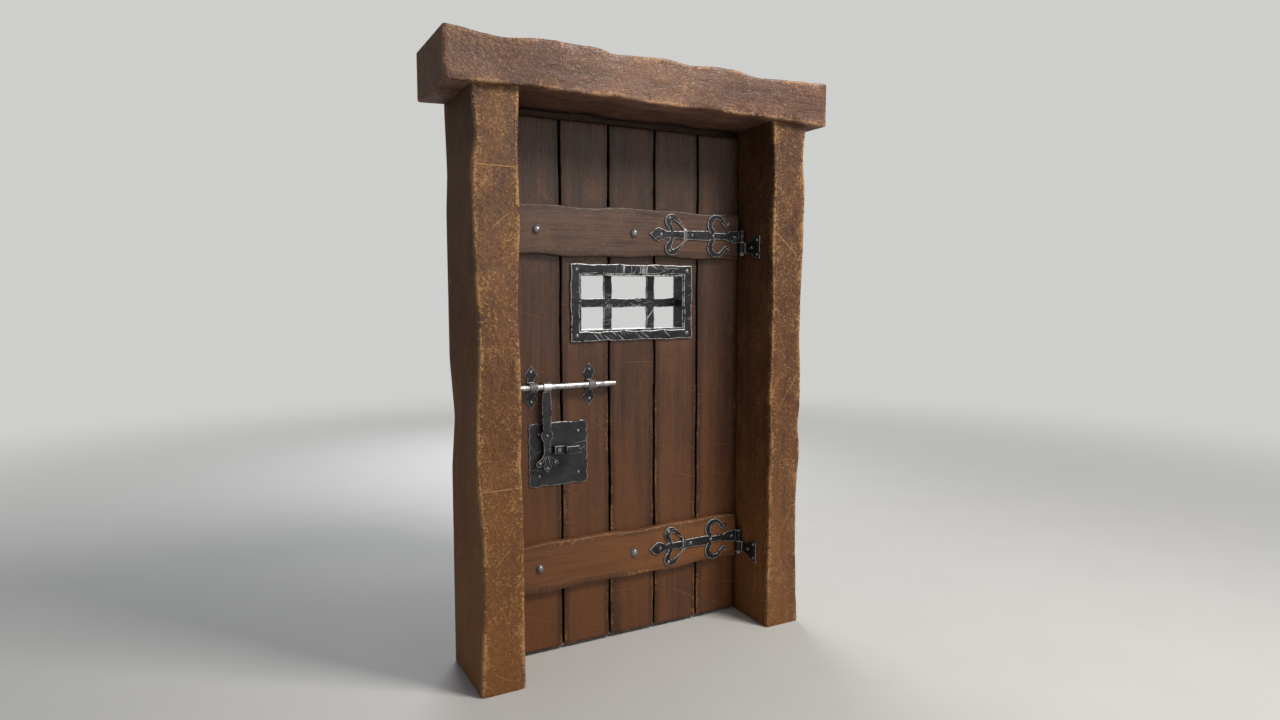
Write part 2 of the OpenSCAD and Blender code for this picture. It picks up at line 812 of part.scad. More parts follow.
// Leaf of the lily beside the strap: a fat blade that returns in a point to the collar
lily_c = [-337, 51];
lily_r = 20;
lily_path = concat(
    [[-338, 8, 9]],
    arc_path(lily_c, lily_r, 235, 175, 10, 15, 5),
    arc_path(lily_c, lily_r, 160, 62, 16, 11, 8),
    [[-306, 53, 6.5], [-288, 33, 3.5], [-282, 22, 2]]);

// Half outline of the strap's spine from the spear tip to the eye
spine_half = [[-444, 0], [-433, 7], [-421, 19], [-405, 27], [-388, 24], [-368, 14], [-345, 13], [-300, 15],
              [-286, 15], [-262, 18], [-165, 20], [-150, 15], [-132, 13], [-76, 13], [-62, 20], [-52, 24]];

// Places of the strap's nails, from the hinge pin
strap_nail_places = strap_points([[-392, 0], [-244, 0], [-140, 0], [-30, 0], [-352, 66], [-352, -66]]);
collar_c = strap_points([[-276, 19]])[0];

// Strap hinge on a batten: spine, lily, scrolls, collar and eye
module strap(z) {
    translate([axis_x, 0, z])
    difference() {
        union() {
            translate([0, batten_y, 0])
                rotate([90, 0, 0])
                    linear_extrude(strap_t)
                        union() {
                            polygon(concat(
                                strap_points(spine_half),
                                [[0, eye_h / 2], [0, -eye_h / 2]],
                                strap_points([for (i = [len(spine_half) - 1:-1:1])
                                    [spine_half[i][0], -spine_half[i][1]]])));
                            for (m = [0, 1])
                                mirror([0, m]) {
                                    polygon(strap_points(band_outline(scroll_path)));
                                    polygon(strap_points(band_outline(lily_path)));
                                    translate(collar_c)
                                        circle(8);
                                }
                        }
            translate([collar_c[0], batten_y - strap_t, 0])
                rotate([90, 0, 0])
                    linear_extrude(2)
                        square([10, 2 * collar_c[1] + 2], center = true);
            translate([0, axis_y, -eye_h / 2])
                cylinder(r = knuckle_r, h = eye_h);
        }
        translate([0, axis_y, -eye_h])
            cylinder(d = pin_d + 2 * pin_play, h = 2 * eye_h);
        for (p = strap_nail_places)
            translate([p[0], batten_y - strap_t, p[1]])
                nail_hole(strap_t);
    }
}

module upper_strap() {
    color(iron)
    strap(upper_z);
}

module lower_strap() {
    color(iron)
    strap(lower_z);
}

module strap_nails() {
    color(iron)
    for (z = [upper_z, lower_z], p = strap_nail_places)
        translate([axis_x + p[0], batten_y - strap_t, z + p[1]])
            nail();
}

// Hammered edge of the window's band
function hammered(t, k) = band_wave * (0.5 * sin(1.9 * t + 70 * k) + 0.5 * sin(4.3 * t + 33 * k));
band_steps = 18;

function band_edge(a, b, k) = [for (i = [0:band_steps - 1])
    let (t = i / band_steps, p = a + (b - a) * t, d = (b - a) / norm(b - a))
    p + [d[1], -d[0]] * hammered(norm(b - a) * t, k) * (i == 0 ? 0 : 1)];

// Width and thickness of the plain band on the back of the planks
back_band_w = 34;
back_band_t = 5;

// Places of the rivets in the front band and in the back band
band_rivets = [for (sx = [-1, 1], sz = [-1, 1])
    [window_x + sx * (window_w / 2 + band_w * 0.45), window_z + sz * (window_h / 2 + band_w * 0.5)]];
back_rivets = [for (sx = [-1, 1], sz = [-1, 1])
    [window_x + sx * (window_w + back_band_w) / 2, window_z + sz * (window_h + back_band_w) / 2]];

// Corners of a rectangle about the window's middle, standing past the clear opening
function window_corners(over) =
    let (w = window_w / 2 + over, h = window_h / 2 + over)
    [[-w, -h], [w, -h], [w, h], [-w, h]];

// Flat iron frame round the window, with hammered edges outside and round the sleeve's rim
module window_frame() {
    outer = window_corners(band_w);
    inner = window_corners(sleeve_t + sleeve_play + band_wave);
    color(iron)
    difference() {
        translate([window_x, face_y, window_z])
            rotate([90, 0, 0])
                linear_extrude(band_t)
                    difference() {
                        polygon([for (k = [0:3]) each band_edge(outer[k], outer[(k + 1) % 4], k)]);
                        polygon([for (k = [0:3]) each band_edge(inner[k], inner[(k + 1) % 4], k + 4)]);
                    }
        for (p = band_rivets)
            translate([p[0], face_y - band_t, p[1]])
                nail_hole(band_t);
    }
}

// Iron sleeve through the planks, its rim standing in the band
module window_sleeve() {
    color(iron)
    translate([window_x, face_y + plank_t, window_z])
        rotate([90, 0, 0])
            linear_extrude(plank_t + band_t - rim_back)
                difference() {
                    square([window_w + 2 * sleeve_t, window_h + 2 * sleeve_t], center = true);
                    square([window_w, window_h], center = true);
                }
}

// Outline of a bar along X with forged edges
bar_steps = 16;
function bar_outline(length, k) = concat(
    [for (i = [0:bar_steps]) let (t = i / bar_steps)
        [length * (t - 0.5), bar_w / 2 + bar_wave * sin(1040 * t + 60 * k)]],
    [for (i = [bar_steps:-1:0]) let (t = i / bar_steps)
        [length * (t - 0.5), -bar_w / 2 + bar_wave * sin(860 * t + 140 * k)]]);

// Crossed bars forged into one grille, set at the back of the sleeve
module window_grille() {
    uprights = [bar_left, bar_right];
    color(iron)
    translate([window_x, leaf_back, window_z])
        rotate([90, 0, 0])
            linear_extrude(bar_t)
                union() {
                    for (k = [0, 1])
                        translate([uprights[k] * window_w, 0])
                            rotate(90)
                                polygon(bar_outline(window_h, k));
                    translate([0, bar_z])
                        polygon(bar_outline(window_w, 2));
                }
}

// Plain frame on the back of the planks
module window_back() {
    color(iron)
    difference() {
        translate([window_x, leaf_back + back_band_t, window_z])
            rotate([90, 0, 0])
                linear_extrude(back_band_t)
                    difference() {
                        square([window_w + 2 * back_band_w, window_h + 2 * back_band_w], center = true);
                        square([window_w, window_h], center = true);
                    }
        for (p = back_rivets)
            translate([p[0], leaf_back, p[1]])
                nail_hole(back_band_t);
    }
}

// Rivets in the corners of both window frames
module window_rivets() {
    color(iron) {
        for (p = band_rivets)
            translate([p[0], face_y - band_t, p[1]])
                nail(nail_head_d + 3);
        for (p = back_rivets)
            translate([p[0], leaf_back + back_band_t, p[1]])
                rotate([0, 0, 180])
                    nail(nail_head_d - 2, nail_l * 0.6);
    }
}

// Half outline of a staple's arrow-headed foot, upwards from the rod, in shares of its height
arrow_half = staple_h * [[0.19, 0.14], [0.155, 0.31], [0.2, 0.43], [0.315, 0.525], [0.27, 0.595], [0, 1]];
staple_nail_z = 0.69 * staple_h;

// Staple over the rod: an arch with ribs, and an arrow-headed foot above and below
module staple(x) {
    ribs = [-0.32, 0, 0.32];
    translate([x, 0, rod_z])
    difference() {
        union() {
            for (m = [0, 1])
                mirror([0, 0, m])
                    translate([0, face_y, 0])
                        rotate([90, 0, 0])
                            linear_extrude(staple_t)
                                polygon(concat(arrow_half,
                                    [for (i = [len(arrow_half) - 2:-1:0])
                                        [-arrow_half[i][0], arrow_half[i][1]]]));
            translate([-staple_w / 2, rod_y, 0])
                rotate([0, 90, 0])
                    cylinder(r = arch_r, h = staple_w);
            for (r = ribs)
                translate([r * staple_w - 2, rod_y, 0])
                    rotate([0, 90, 0])
                        cylinder(r = arch_r + 1.6, h = 4);
            translate([-staple_w / 2, rod_y, -arch_r])
                cube([staple_w, rod_off, 2 * arch_r]);
        }
        translate([-staple_w, rod_y, 0])
            rotate([0, 90, 0])
                cylinder(r = rod_r + rod_play, h = 2 * staple_w);
        translate([-staple_w, rod_y, -(rod_r + rod_play)])
            cube([2 * staple_w, rod_off + past, 2 * (rod_r + rod_play)]);
        for (s = [-1, 1])
            translate([0, face_y - staple_t, s * staple_nail_z])
                nail_hole(staple_t);
    }
}

module left_staple() {
    color(iron)
    staple(staple_x[0]);
}

module right_staple() {
    color(iron)
    staple(staple_x[1]);
}

module staple_nails() {
    color(iron)
    for (x = staple_x, s = [-1, 1])
        translate([x, face_y - staple_t, rod_z + s * staple_nail_z])
            nail();
}

// Scalloped side of the lock plate: arches between cusps given as shares of the side
function arches(a, b, cusps, steps) = [for (c = [0:len(cusps) - 2], i = [0:steps - 1])
    let (d = (b - a) / norm(b - a), t = i / steps, s = cusps[c] + (cusps[c + 1] - cusps[c]) * t)
    a + (b - a) * s + [d[1], -d[0]] * scallop * sin(180 * t)];
wide_cusps = [0, 0.2, 0.76, 1];
tall_cusps = [0, 0.17, 0.36, 0.52, 0.68, 0.84, 1];
plate_nail_d = 0.347 * plate_w;
plate_nail_places = [for (sx = [-1, 1], sz = [-1, 1])
    [plate_x + sx * plate_nail_d, plate_z + sz * plate_nail_d]];

module lock_plate() {
    w = plate_w / 2;
    h = plate_h / 2;
    color(iron)
    difference() {
        translate([plate_x, face_y, plate_z])
            rotate([90, 0, 0])
                linear_extrude(plate_t)
                    polygon(concat(
                        arches([-w, -h], [w, -h], wide_cusps, 8),
                        arches([w, -h], [w, h], tall_cusps, 6),
                        arches([w, h], [-w, h], wide_cusps, 8),
                        arches([-w, h], [-w, -h], tall_cusps, 6)));
        for (p = plate_nail_places)
            translate([p[0], plate_y, p[1]])
                nail_hole(plate_t);
        translate([button_x, face_y + past, button_z])
            rotate([90, 0, 0])
                cylinder(d = pivot_d, h = plate_t + 2 * past);
    }
}

module plate_nails() {
    color(iron)
    for (p = plate_nail_places)
        translate([p[0], plate_y, p[1]])
            nail();
}

// Stud that the turn button swings on, riveted through the plate
button_play = 0.4;
pivot_play = 0.06;
pivot_head_h = 2;
pivot_bite = 12;

module button_pivot() {
    color(iron)
    translate([button_x, plate_y, button_z])
        rotate([90, 0, 0]) {
            translate([0, 0, -plate_t - pivot_bite])
                cylinder(d = pivot_d, h = plate_t + pivot_bite + tongue_t + 2 * button_play);
            translate([0, 0, tongue_t + 2 * button_play])
                cylinder(d = pivot_d + 7, h = pivot_head_h);
        }
}

// Cranked turn button: a low tongue on the pivot, a riser and a raised arm with a raked end
module turn_button() {
    half = tongue_l / 2;
    high = arm_base + arm_t;
    rake = 9;
    tall = button_h / 2;
    color(iron)
    translate([button_x, plate_y, button_z])
        difference() {
            intersection() {
                translate([0, 0, -tall])
                    linear_extrude(button_h)
                        polygon([[-half, -button_play], [half + riser_t - 4, -button_play],
                                 [half + riser_t, -4 - button_play], [half + riser_t, -arm_base],
                                 [arm_reach, -arm_base], [arm_reach, -high], [half, -high],
                                 [half, -tongue_t - button_play], [-half, -tongue_t - button_play]]);
                rotate([90, 0, 0])
                    linear_extrude(high + past)
                        polygon([[-half, -tall], [arm_reach, -tall],
                                 [arm_reach - rake, tall], [-half, tall]]);
            }
            rotate([90, 0, 0])
                translate([0, 0, -past])
                    cylinder(d = pivot_d + 2 * pivot_play, h = tongue_t + 4 * past);
        }
}

// Bolt rod turned with ring grooves, and two collars that hold the hasp in place
module bolt_rod() {
    groove = 0.9;
    groove_w = 2.4;
    end_l = 6;
    rings = [for (x = staple_x, s = [-1, 1], k = [0, 1]) x + s * (staple_w / 2 + 9 + 6 * k)];
    color(steel)
    translate([0, rod_y, rod_z])
        rotate([0, 90, 0])
            difference() {
                union() {
                    translate([0, 0, rod_start])
                        cylinder(r = rod_r, h = rod_end_x - rod_start - end_l);
                    translate([0, 0, rod_end_x - end_l])
                        cylinder(r = rod_r - 1.5, h = end_l);
                    for (s = [-1, 1])
                        translate([0, 0, hasp_x + s * (hasp_w + 2 * collar_gap + collar_w) / 2])
                            cylinder(r = rod_r + 1.6, h = collar_w, center = true);
                }
                for (x = rings)
                    translate([0, 0, x - groove_w / 2])
                        difference() {
                            cylinder(r = rod_r + past, h = groove_w);
                            translate([0, 0, -past])
                                cylinder(r = rod_r - groove, h = groove_w + 2 * past);
                        }
            }
}

// The hasp's outline is drawn for a hasp 331 long and 32 wide, and scaled to its own
hasp_scale = [hasp_w / 32, hasp_l / 331];
function hasp_points(points) = [for (p = points) [p[0] * hasp_scale[0], p[1] * hasp_scale[1]]];

// Half outline of the hasp below the rod's middle: strap, shoulder and neck
hasp_half = [[16, -8], [16, -24], [18.2, -46], [19.3, -78], [19, -105], [16.6, -145], [15.2, -165],
             [14.5, -214], [13.2, -233], [12.4, -257], [8.5, -268]];
boss_z = -188 * hasp_scale[1];
boss_r = 24.5 * hasp_scale[0];
lobe = [[13, -256], [19.5, -271], [33, -282], [46, -292], [44, -301], [36, -310],
        [25, -306], [17.3, -292], [9.5, -276], [6, -262]];
lobe_c = [31, -294];
tail_half = [[4, -262], [5.8, -276], [11, -292], [17.5, -309], [0, -331]];
hasp_rivet_places = hasp_points([[0, -188], lobe_c, [-lobe_c[0], lobe_c[1]], [0, -314]]);

// Hasp that hangs from the rod, with a three-lobed tail
module hasp() {
    color(iron)
    translate([hasp_x, rod_y, rod_z])
        difference() {
            union() {
                translate([0, hasp_t / 2, 0])
                    rotate([90, 0, 0])
                        linear_extrude(hasp_t)
                            union() {
                                polygon(hasp_points(concat(
                                    hasp_half,
                                    [for (i = [len(hasp_half) - 1:-1:0])
                                        [-hasp_half[i][0], hasp_half[i][1]]])));
                                translate([0, boss_z])
                                    circle(boss_r);
                                for (m = [0, 1])
                                    mirror([m, 0])
                                        polygon(hasp_points(lobe));
                                polygon(hasp_points(concat(
                                    tail_half,
                                    [for (i = [len(tail_half) - 2:-1:0])
                                        [-tail_half[i][0], tail_half[i][1]]])));
                            }
                translate([-hasp_w / 2, 0, 0])
                    rotate([0, 90, 0])
                        cylinder(r = rod_r + hasp_play + hasp_eye_t, h = hasp_w);
            }
            translate([-hasp_w, 0, 0])
                rotate([0, 90, 0])
                    cylinder(r = rod_r + hasp_play, h = 2 * hasp_w);
            for (p = hasp_rivet_places)
                translate([p[0], -hasp_t / 2, p[1]])
                    nail_hole(hasp_t);
        }
}

module hasp_rivets() {
    color(iron)
    for (p = hasp_rivet_places)
        translate([hasp_x + p[0], rod_y - hasp_t / 2, rod_z + p[1]])
            nail(nail_head_d * 0.8, hasp_t);
}

left_post();
right_post();
lintel();
left_stop();
right_stop();
head_stop();
stop_nails();
bolt_keeper();
keeper_nails();
upper_pintle();
lower_pintle();
pintle_nails();
hinge_pins();
plank_1();
plank_2();
plank_3_top();
plank_3_foot();
plank_4();
plank_5();
upper_batten();
lower_batten();
batten_bolts();
bolt_roves();
plank_nails();
upper_strap();
lower_strap();
strap_nails();
window_frame();
window_sleeve();
window_grille();
window_back();
window_rivets();
left_staple();
right_staple();
staple_nails();
lock_plate();
plate_nails();
button_pivot();
bolt_rod();
hasp();
hasp_rivets();
turn_button();
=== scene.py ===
"""Dresses a ledged plank door and its hewn post and lintel frame.

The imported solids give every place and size. The timbers are skinned again with worn arrises and chips,
the forged plates get broken edges, and each surface gets a procedural finish.
"""

from __future__ import annotations

import json
import logging
import math
from dataclasses import dataclass, field, replace
from enum import Enum
from typing import Iterable, Sequence

import bmesh
import bpy
import numpy as np
from bpy.types import Material, Mesh, Node, NodeSocket, Object, World
from mathutils import Matrix, Vector

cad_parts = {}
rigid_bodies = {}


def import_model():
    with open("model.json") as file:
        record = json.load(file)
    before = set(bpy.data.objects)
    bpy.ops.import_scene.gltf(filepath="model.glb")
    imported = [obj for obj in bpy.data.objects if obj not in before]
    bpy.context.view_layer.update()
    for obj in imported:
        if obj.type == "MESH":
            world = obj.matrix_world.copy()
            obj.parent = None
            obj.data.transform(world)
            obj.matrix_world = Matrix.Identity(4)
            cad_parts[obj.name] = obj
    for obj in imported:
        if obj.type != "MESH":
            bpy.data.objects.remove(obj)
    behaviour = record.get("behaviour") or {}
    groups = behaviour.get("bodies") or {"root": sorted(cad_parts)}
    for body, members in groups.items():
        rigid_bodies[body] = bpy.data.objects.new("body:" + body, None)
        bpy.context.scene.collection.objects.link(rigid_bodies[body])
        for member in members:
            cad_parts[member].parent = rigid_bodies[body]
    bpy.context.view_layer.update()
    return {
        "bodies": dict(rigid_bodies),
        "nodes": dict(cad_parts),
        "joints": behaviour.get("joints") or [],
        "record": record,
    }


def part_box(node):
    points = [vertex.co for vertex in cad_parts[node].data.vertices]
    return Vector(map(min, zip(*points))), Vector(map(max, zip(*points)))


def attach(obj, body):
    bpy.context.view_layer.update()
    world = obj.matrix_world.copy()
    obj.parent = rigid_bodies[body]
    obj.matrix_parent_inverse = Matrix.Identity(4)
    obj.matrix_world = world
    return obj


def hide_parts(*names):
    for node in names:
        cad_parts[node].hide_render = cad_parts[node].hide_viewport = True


LOG = logging.getLogger("door")
Colour = tuple[float, float, float]
Table = Sequence[tuple[float, float]]
Widths = tuple[tuple[str, float], ...]

# Metres in a millimetre. The timbers are laid out in millimetres.
MM = 0.001
# Numbers that a mesh carries for its finish: how worn it is, and how much painted shade darkens it deep in a
# joint.
WEAR, JOINT_SHADE = "wear", "joint_shade"
# The plain background, and the gloss of every finish.
BACKDROP = (0.62, 0.62, 0.61)
SHINE = 0.28
# A place in metres that no point reaches, for marks that a finish does without.
OFF = -9.0
# Cells of the lattice noise along a side.
LATTICE = 32
# Points round an arris, along the middle of a face, and in all from one arris to the next.
ARC, INNER = 5, 7
SIDE = ARC + INNER + 4
# Rings that round a timber's end off: inset and set-back in metres, and wear.
END_RINGS = ((0.0012, 0.0018, 1.0), (0.0036, 0.0, 0.9), (0.012, 0.0, 0.35), (0.03, 0.0, 0.0))


def srgb(*screen: int) -> Colour:
    """Turns a colour as a screen shows it into linear values.

    Args:
        screen: Red, green and blue from 0 to 255.

    Returns:
        The linear colour.
    """
    shares = (c / 255 for c in screen)
    return tuple(s / 12.92 if s <= 0.04045 else ((s + 0.055) / 1.055) ** 2.4 for s in shares)


def darker(colour: Colour, share: float) -> Colour:
    """Keeps a share of a colour."""
    return tuple(c * share for c in colour)


class Run(Enum):
    """The way that a timber's grain runs."""

    UP = "z"
    LEVEL = "x"


class Value:
    """A shader value that Python expressions can use."""

    def __init__(self, graph: Graph, socket: NodeSocket) -> None:
        """Keeps the graph and the output socket."""
        self.graph = graph
        self.socket = socket

    def __add__(self, other: Value | float) -> Value:
        """Adds a value or a number."""
        return self.graph.calc("ADD", self, other)

    __radd__ = __add__

    def __sub__(self, other: Value | float) -> Value:
        """Takes a value or a number away."""
        return self.graph.calc("SUBTRACT", self, other)

    def __rsub__(self, other: float) -> Value:
        """Takes this value away from a number."""
        return self.graph.calc("SUBTRACT", other, self)

    def __mul__(self, other: Value | float) -> Value:
        """Multiplies by a value or a number."""
        return self.graph.calc("MULTIPLY", self, other)

    def __abs__(self) -> Value:
        """The value without its sign."""
        return self.graph.calc("ABSOLUTE", self)

    def __pow__(self, other: float) -> Value:
        """Raises to a power."""
        return self.graph.calc("POWER", self, other)

    def rise(self, low: float, high: float) -> Value:
        """A smooth step from 0 at low to 1 at high."""
        return self.graph.step(self, low, high, 0.0, 1.0)

    def fall(self, low: float, high: float) -> Value:
        """A smooth step from 1 at low to 0 at high."""
        return self.graph.step(self, low, high, 1.0, 0.0)

    def most(self, other: Value | float) -> Value:
        """The larger of two values."""
        return self.graph.calc("MAXIMUM", self, other)

    def capped(self) -> Value:
        """The value held between 0 and 1."""
        return self.graph.calc("MINIMUM", self.most(0.0), 1.0)


class Graph:
    """The node tree of a material or a world, and the tools to fill it."""

    def __init__(self, owner: Material | World) -> None:
        """Opens the owner's node tree."""
        owner.use_nodes = True
        self.tree = owner.node_tree

    def add(self, kind: str, settings: dict | None = None, inputs: dict | None = None) -> Node:
        """Adds a node of any kind.

        Args:
            kind: The node's type name.
            settings: Values set on the node itself, before its sockets.
            inputs: Values or links of its input sockets, by name or number.

        Returns:
            The node.
        """
        node = self.tree.nodes.new(kind)
        for key, value in (settings or {}).items():
            setattr(node, key, value)
        for key, value in (inputs or {}).items():
            self.feed(node.inputs[key], value)
        return node

    def feed(self, socket: NodeSocket, value: object) -> None:
        """Links a value to an input socket, or sets a constant on it.

        Args:
            socket: The input socket.
            value: A value or socket to link, or a number or colour to set.
        """
        if isinstance(value, Value):
            value = value.socket
        if isinstance(value, NodeSocket):
            self.tree.links.new(value, socket)
        else:
            socket.default_value = (*value, 1.0) if socket.type == "RGBA" else value

    def calc(self, operation: str, *values: Value | float) -> Value:
        """Adds one Math node on values and numbers."""
        node = self.add("ShaderNodeMath", {"operation": operation}, dict(enumerate(values)))
        return Value(self, node.outputs[0])

    def step(self, value: Value, low: float, high: float, first: float, last: float) -> Value:
        """A smooth step of a value.

        Args:
            value: The value.
            low: Where the step starts.
            high: Where the step ends.
            first: Result up to its start.
            last: Result from its end.

        Returns:
            The step.
        """
        ends = {"Value": value, "From Min": low, "From Max": high, "To Min": first, "To Max": last}
        node = self.add("ShaderNodeMapRange", {"interpolation_type": "SMOOTHSTEP"}, ends)
        return Value(self, node.outputs["Result"])

    def seeing(self) -> Value:
        """1 on the rays that see the background: straight, by gloss or through glass.

        Returns:
            The mask.
        """
        path = self.add("ShaderNodeLightPath")
        straight, gloss, through = (Value(self, path.outputs[f"Is {kind} Ray"])
                                    for kind in ("Camera", "Glossy", "Transmission"))
        return straight.most(gloss).most(through)

    def end(self, factor: Value, under: NodeSocket, over: NodeSocket, output: str) -> None:
        """Mixes two shaders into the tree's output.

        Args:
            factor: Share of the shader on top.
            under: Shader below.
            over: Shader on top.
            output: Name of the output node.
        """
        join = self.add("ShaderNodeMixShader", None, {0: factor, 1: under, 2: over})
        self.feed(self.tree.nodes[output].inputs[0], join.outputs[0])


class Surface(Graph):
    """The node tree of one material, with the patterns that the finishes share."""

    def __init__(self, name: str) -> None:
        """Makes a material and finds the object's own coordinates.

        Args:
            name: Name of the material.
        """
        self.material = bpy.data.materials.new(name)
        super().__init__(self.material)
        self.shader = self.tree.nodes["Principled BSDF"]
        self.place = self.add("ShaderNodeTexCoord").outputs["Object"]
        parts = self.add("ShaderNodeSeparateXYZ", inputs={"Vector": self.place})
        self.x, self.y, self.z = (Value(self, parts.outputs[k]) for k in "XYZ")

    def noise(self, scale: Colour | float, detail: float = 3.0, rough: float = 0.55, bend: float = 0.0,
              shift: Colour = (0.0, 0.0, 0.0)) -> Value:
        """Cloudy noise in stretched coordinates.

        Args:
            scale: Cells to the metre along each axis, or one number for all three.
            detail: Octaves.
            rough: Share that each octave keeps.
            bend: Distortion.
            shift: Offset that gives another pattern.

        Returns:
            The noise, about 0.5 in the middle.
        """
        scales = scale if isinstance(scale, tuple) else (scale,) * 3
        inputs = {0: self.place, 1: scales, 2: shift}
        place = self.add("ShaderNodeVectorMath", {"operation": "MULTIPLY_ADD"}, inputs)
        inputs = {"Vector": place.outputs[0], "Scale": 1.0, "Detail": detail, "Roughness": rough,
                  "Distortion": bend}
        return Value(self, self.add("ShaderNodeTexNoise", None, inputs).outputs[0])

    def cells(self, scale: float) -> Value:
        """Distance from the middles of scattered cells, scale to the metre."""
        inputs = {"Vector": self.place, "Scale": scale}
        return Value(self, self.add("ShaderNodeTexVoronoi", {"feature": "SMOOTH_F1"}, inputs).outputs[0])

    def attribute(self, name: str) -> Value:
        """A number that the mesh carries."""
        return Value(self, self.add("ShaderNodeAttribute", {"attribute_name": name}).outputs["Fac"])

    def blend(self, factor: Value, under: object, over: object) -> NodeSocket:
        """Mixes two colours.

        Args:
            factor: Share of the colour on top.
            under: Colour or socket below.
            over: Colour or socket on top.

        Returns:
            The mixed colour's socket.
        """
        settings = {"data_type": "RGBA", "clamp_factor": True}
        return self.add("ShaderNodeMix", settings, {0: factor, 6: under, 7: over}).outputs[2]

    def strokes(self, u: Value, v: Value, scale: float, share: float, width: float, seed: float,
                turn: float = math.pi, lean: float = 0.0) -> Value:
        """Short scattered strokes, one in a square cell at most.

        Args:
            u: First coordinate on the surface.
            v: Second coordinate on the surface.
            scale: Cells to the metre.
            share: Share of the cells that carry a stroke.
            width: Half width of a stroke in cells.
            seed: Number that gives another pattern.
            turn: Spread of the strokes' directions in radians.
            lean: Middle direction, from the first coordinate.

        Returns:
            A mask that is 1 on a stroke.
        """
        across, along = u * scale, v * scale
        home = self.add("ShaderNodeCombineXYZ", None, {
            "X": self.calc("FLOOR", across), "Y": self.calc("FLOOR", along), "Z": seed})
        dice = self.add("ShaderNodeTexWhiteNoise", {"noise_dimensions": "3D"}, {"Vector": home.outputs[0]})
        parts = self.add("ShaderNodeSeparateColor", None, {"Color": dice.outputs["Color"]})
        first, second, third = (Value(self, parts.outputs[k]) for k in range(3))
        angle = (first - 0.5) * turn + lean
        cosine, sine = self.calc("COSINE", angle), self.calc("SINE", angle)
        fu = self.calc("FRACT", across) - 0.5
        fv = self.calc("FRACT", along) - 0.5
        length = fu * cosine + fv * sine
        bow = length * length * (third - 0.5) * 0.5
        offset = fv * cosine - fu * sine + (second - 0.5) * 0.34 + bow
        drawn = abs(offset).fall(width * 0.35, width) * abs(length).fall(0.16, 0.44)
        return drawn * Value(self, dice.outputs["Value"]).fall(share - 0.01, share + 0.01)

    def finish(self, colour: object, rough: object, metal: object, height: Value, depth: float,
               strength: float) -> Material:
        """Feeds the shader.

        Args:
            colour: Base colour.
            rough: Roughness.
            metal: Metallic share.
            height: Relief, about 0 to 1.
            depth: Depth of the relief in metres.
            strength: Strength of the relief.

        Returns:
            The finished material.
        """
        bump = self.add("ShaderNodeBump", None, {"Strength": strength, "Distance": depth, "Height": height})
        for name, value in (("Base Color", colour), ("Roughness", rough), ("Metallic", metal),
                            ("Normal", bump.outputs[0]), ("Specular IOR Level", SHINE)):
            self.feed(self.shader.inputs[name], value)
        return self.material


@dataclass(frozen=True)
class Cut:
    """One long cut across a timber. Metres along and across the grain."""

    place: float
    slope: float
    origin: float
    start: float
    end: float

    def mask(self, u: Value, v: Value) -> Value:
        """1 on the cut, at places along and across the grain."""
        line = abs(u - self.place - (v - self.origin) * self.slope).fall(0.0008, 0.002)
        return line * v.rise(self.start, self.start + 0.02) * v.fall(self.end - 0.02, self.end)


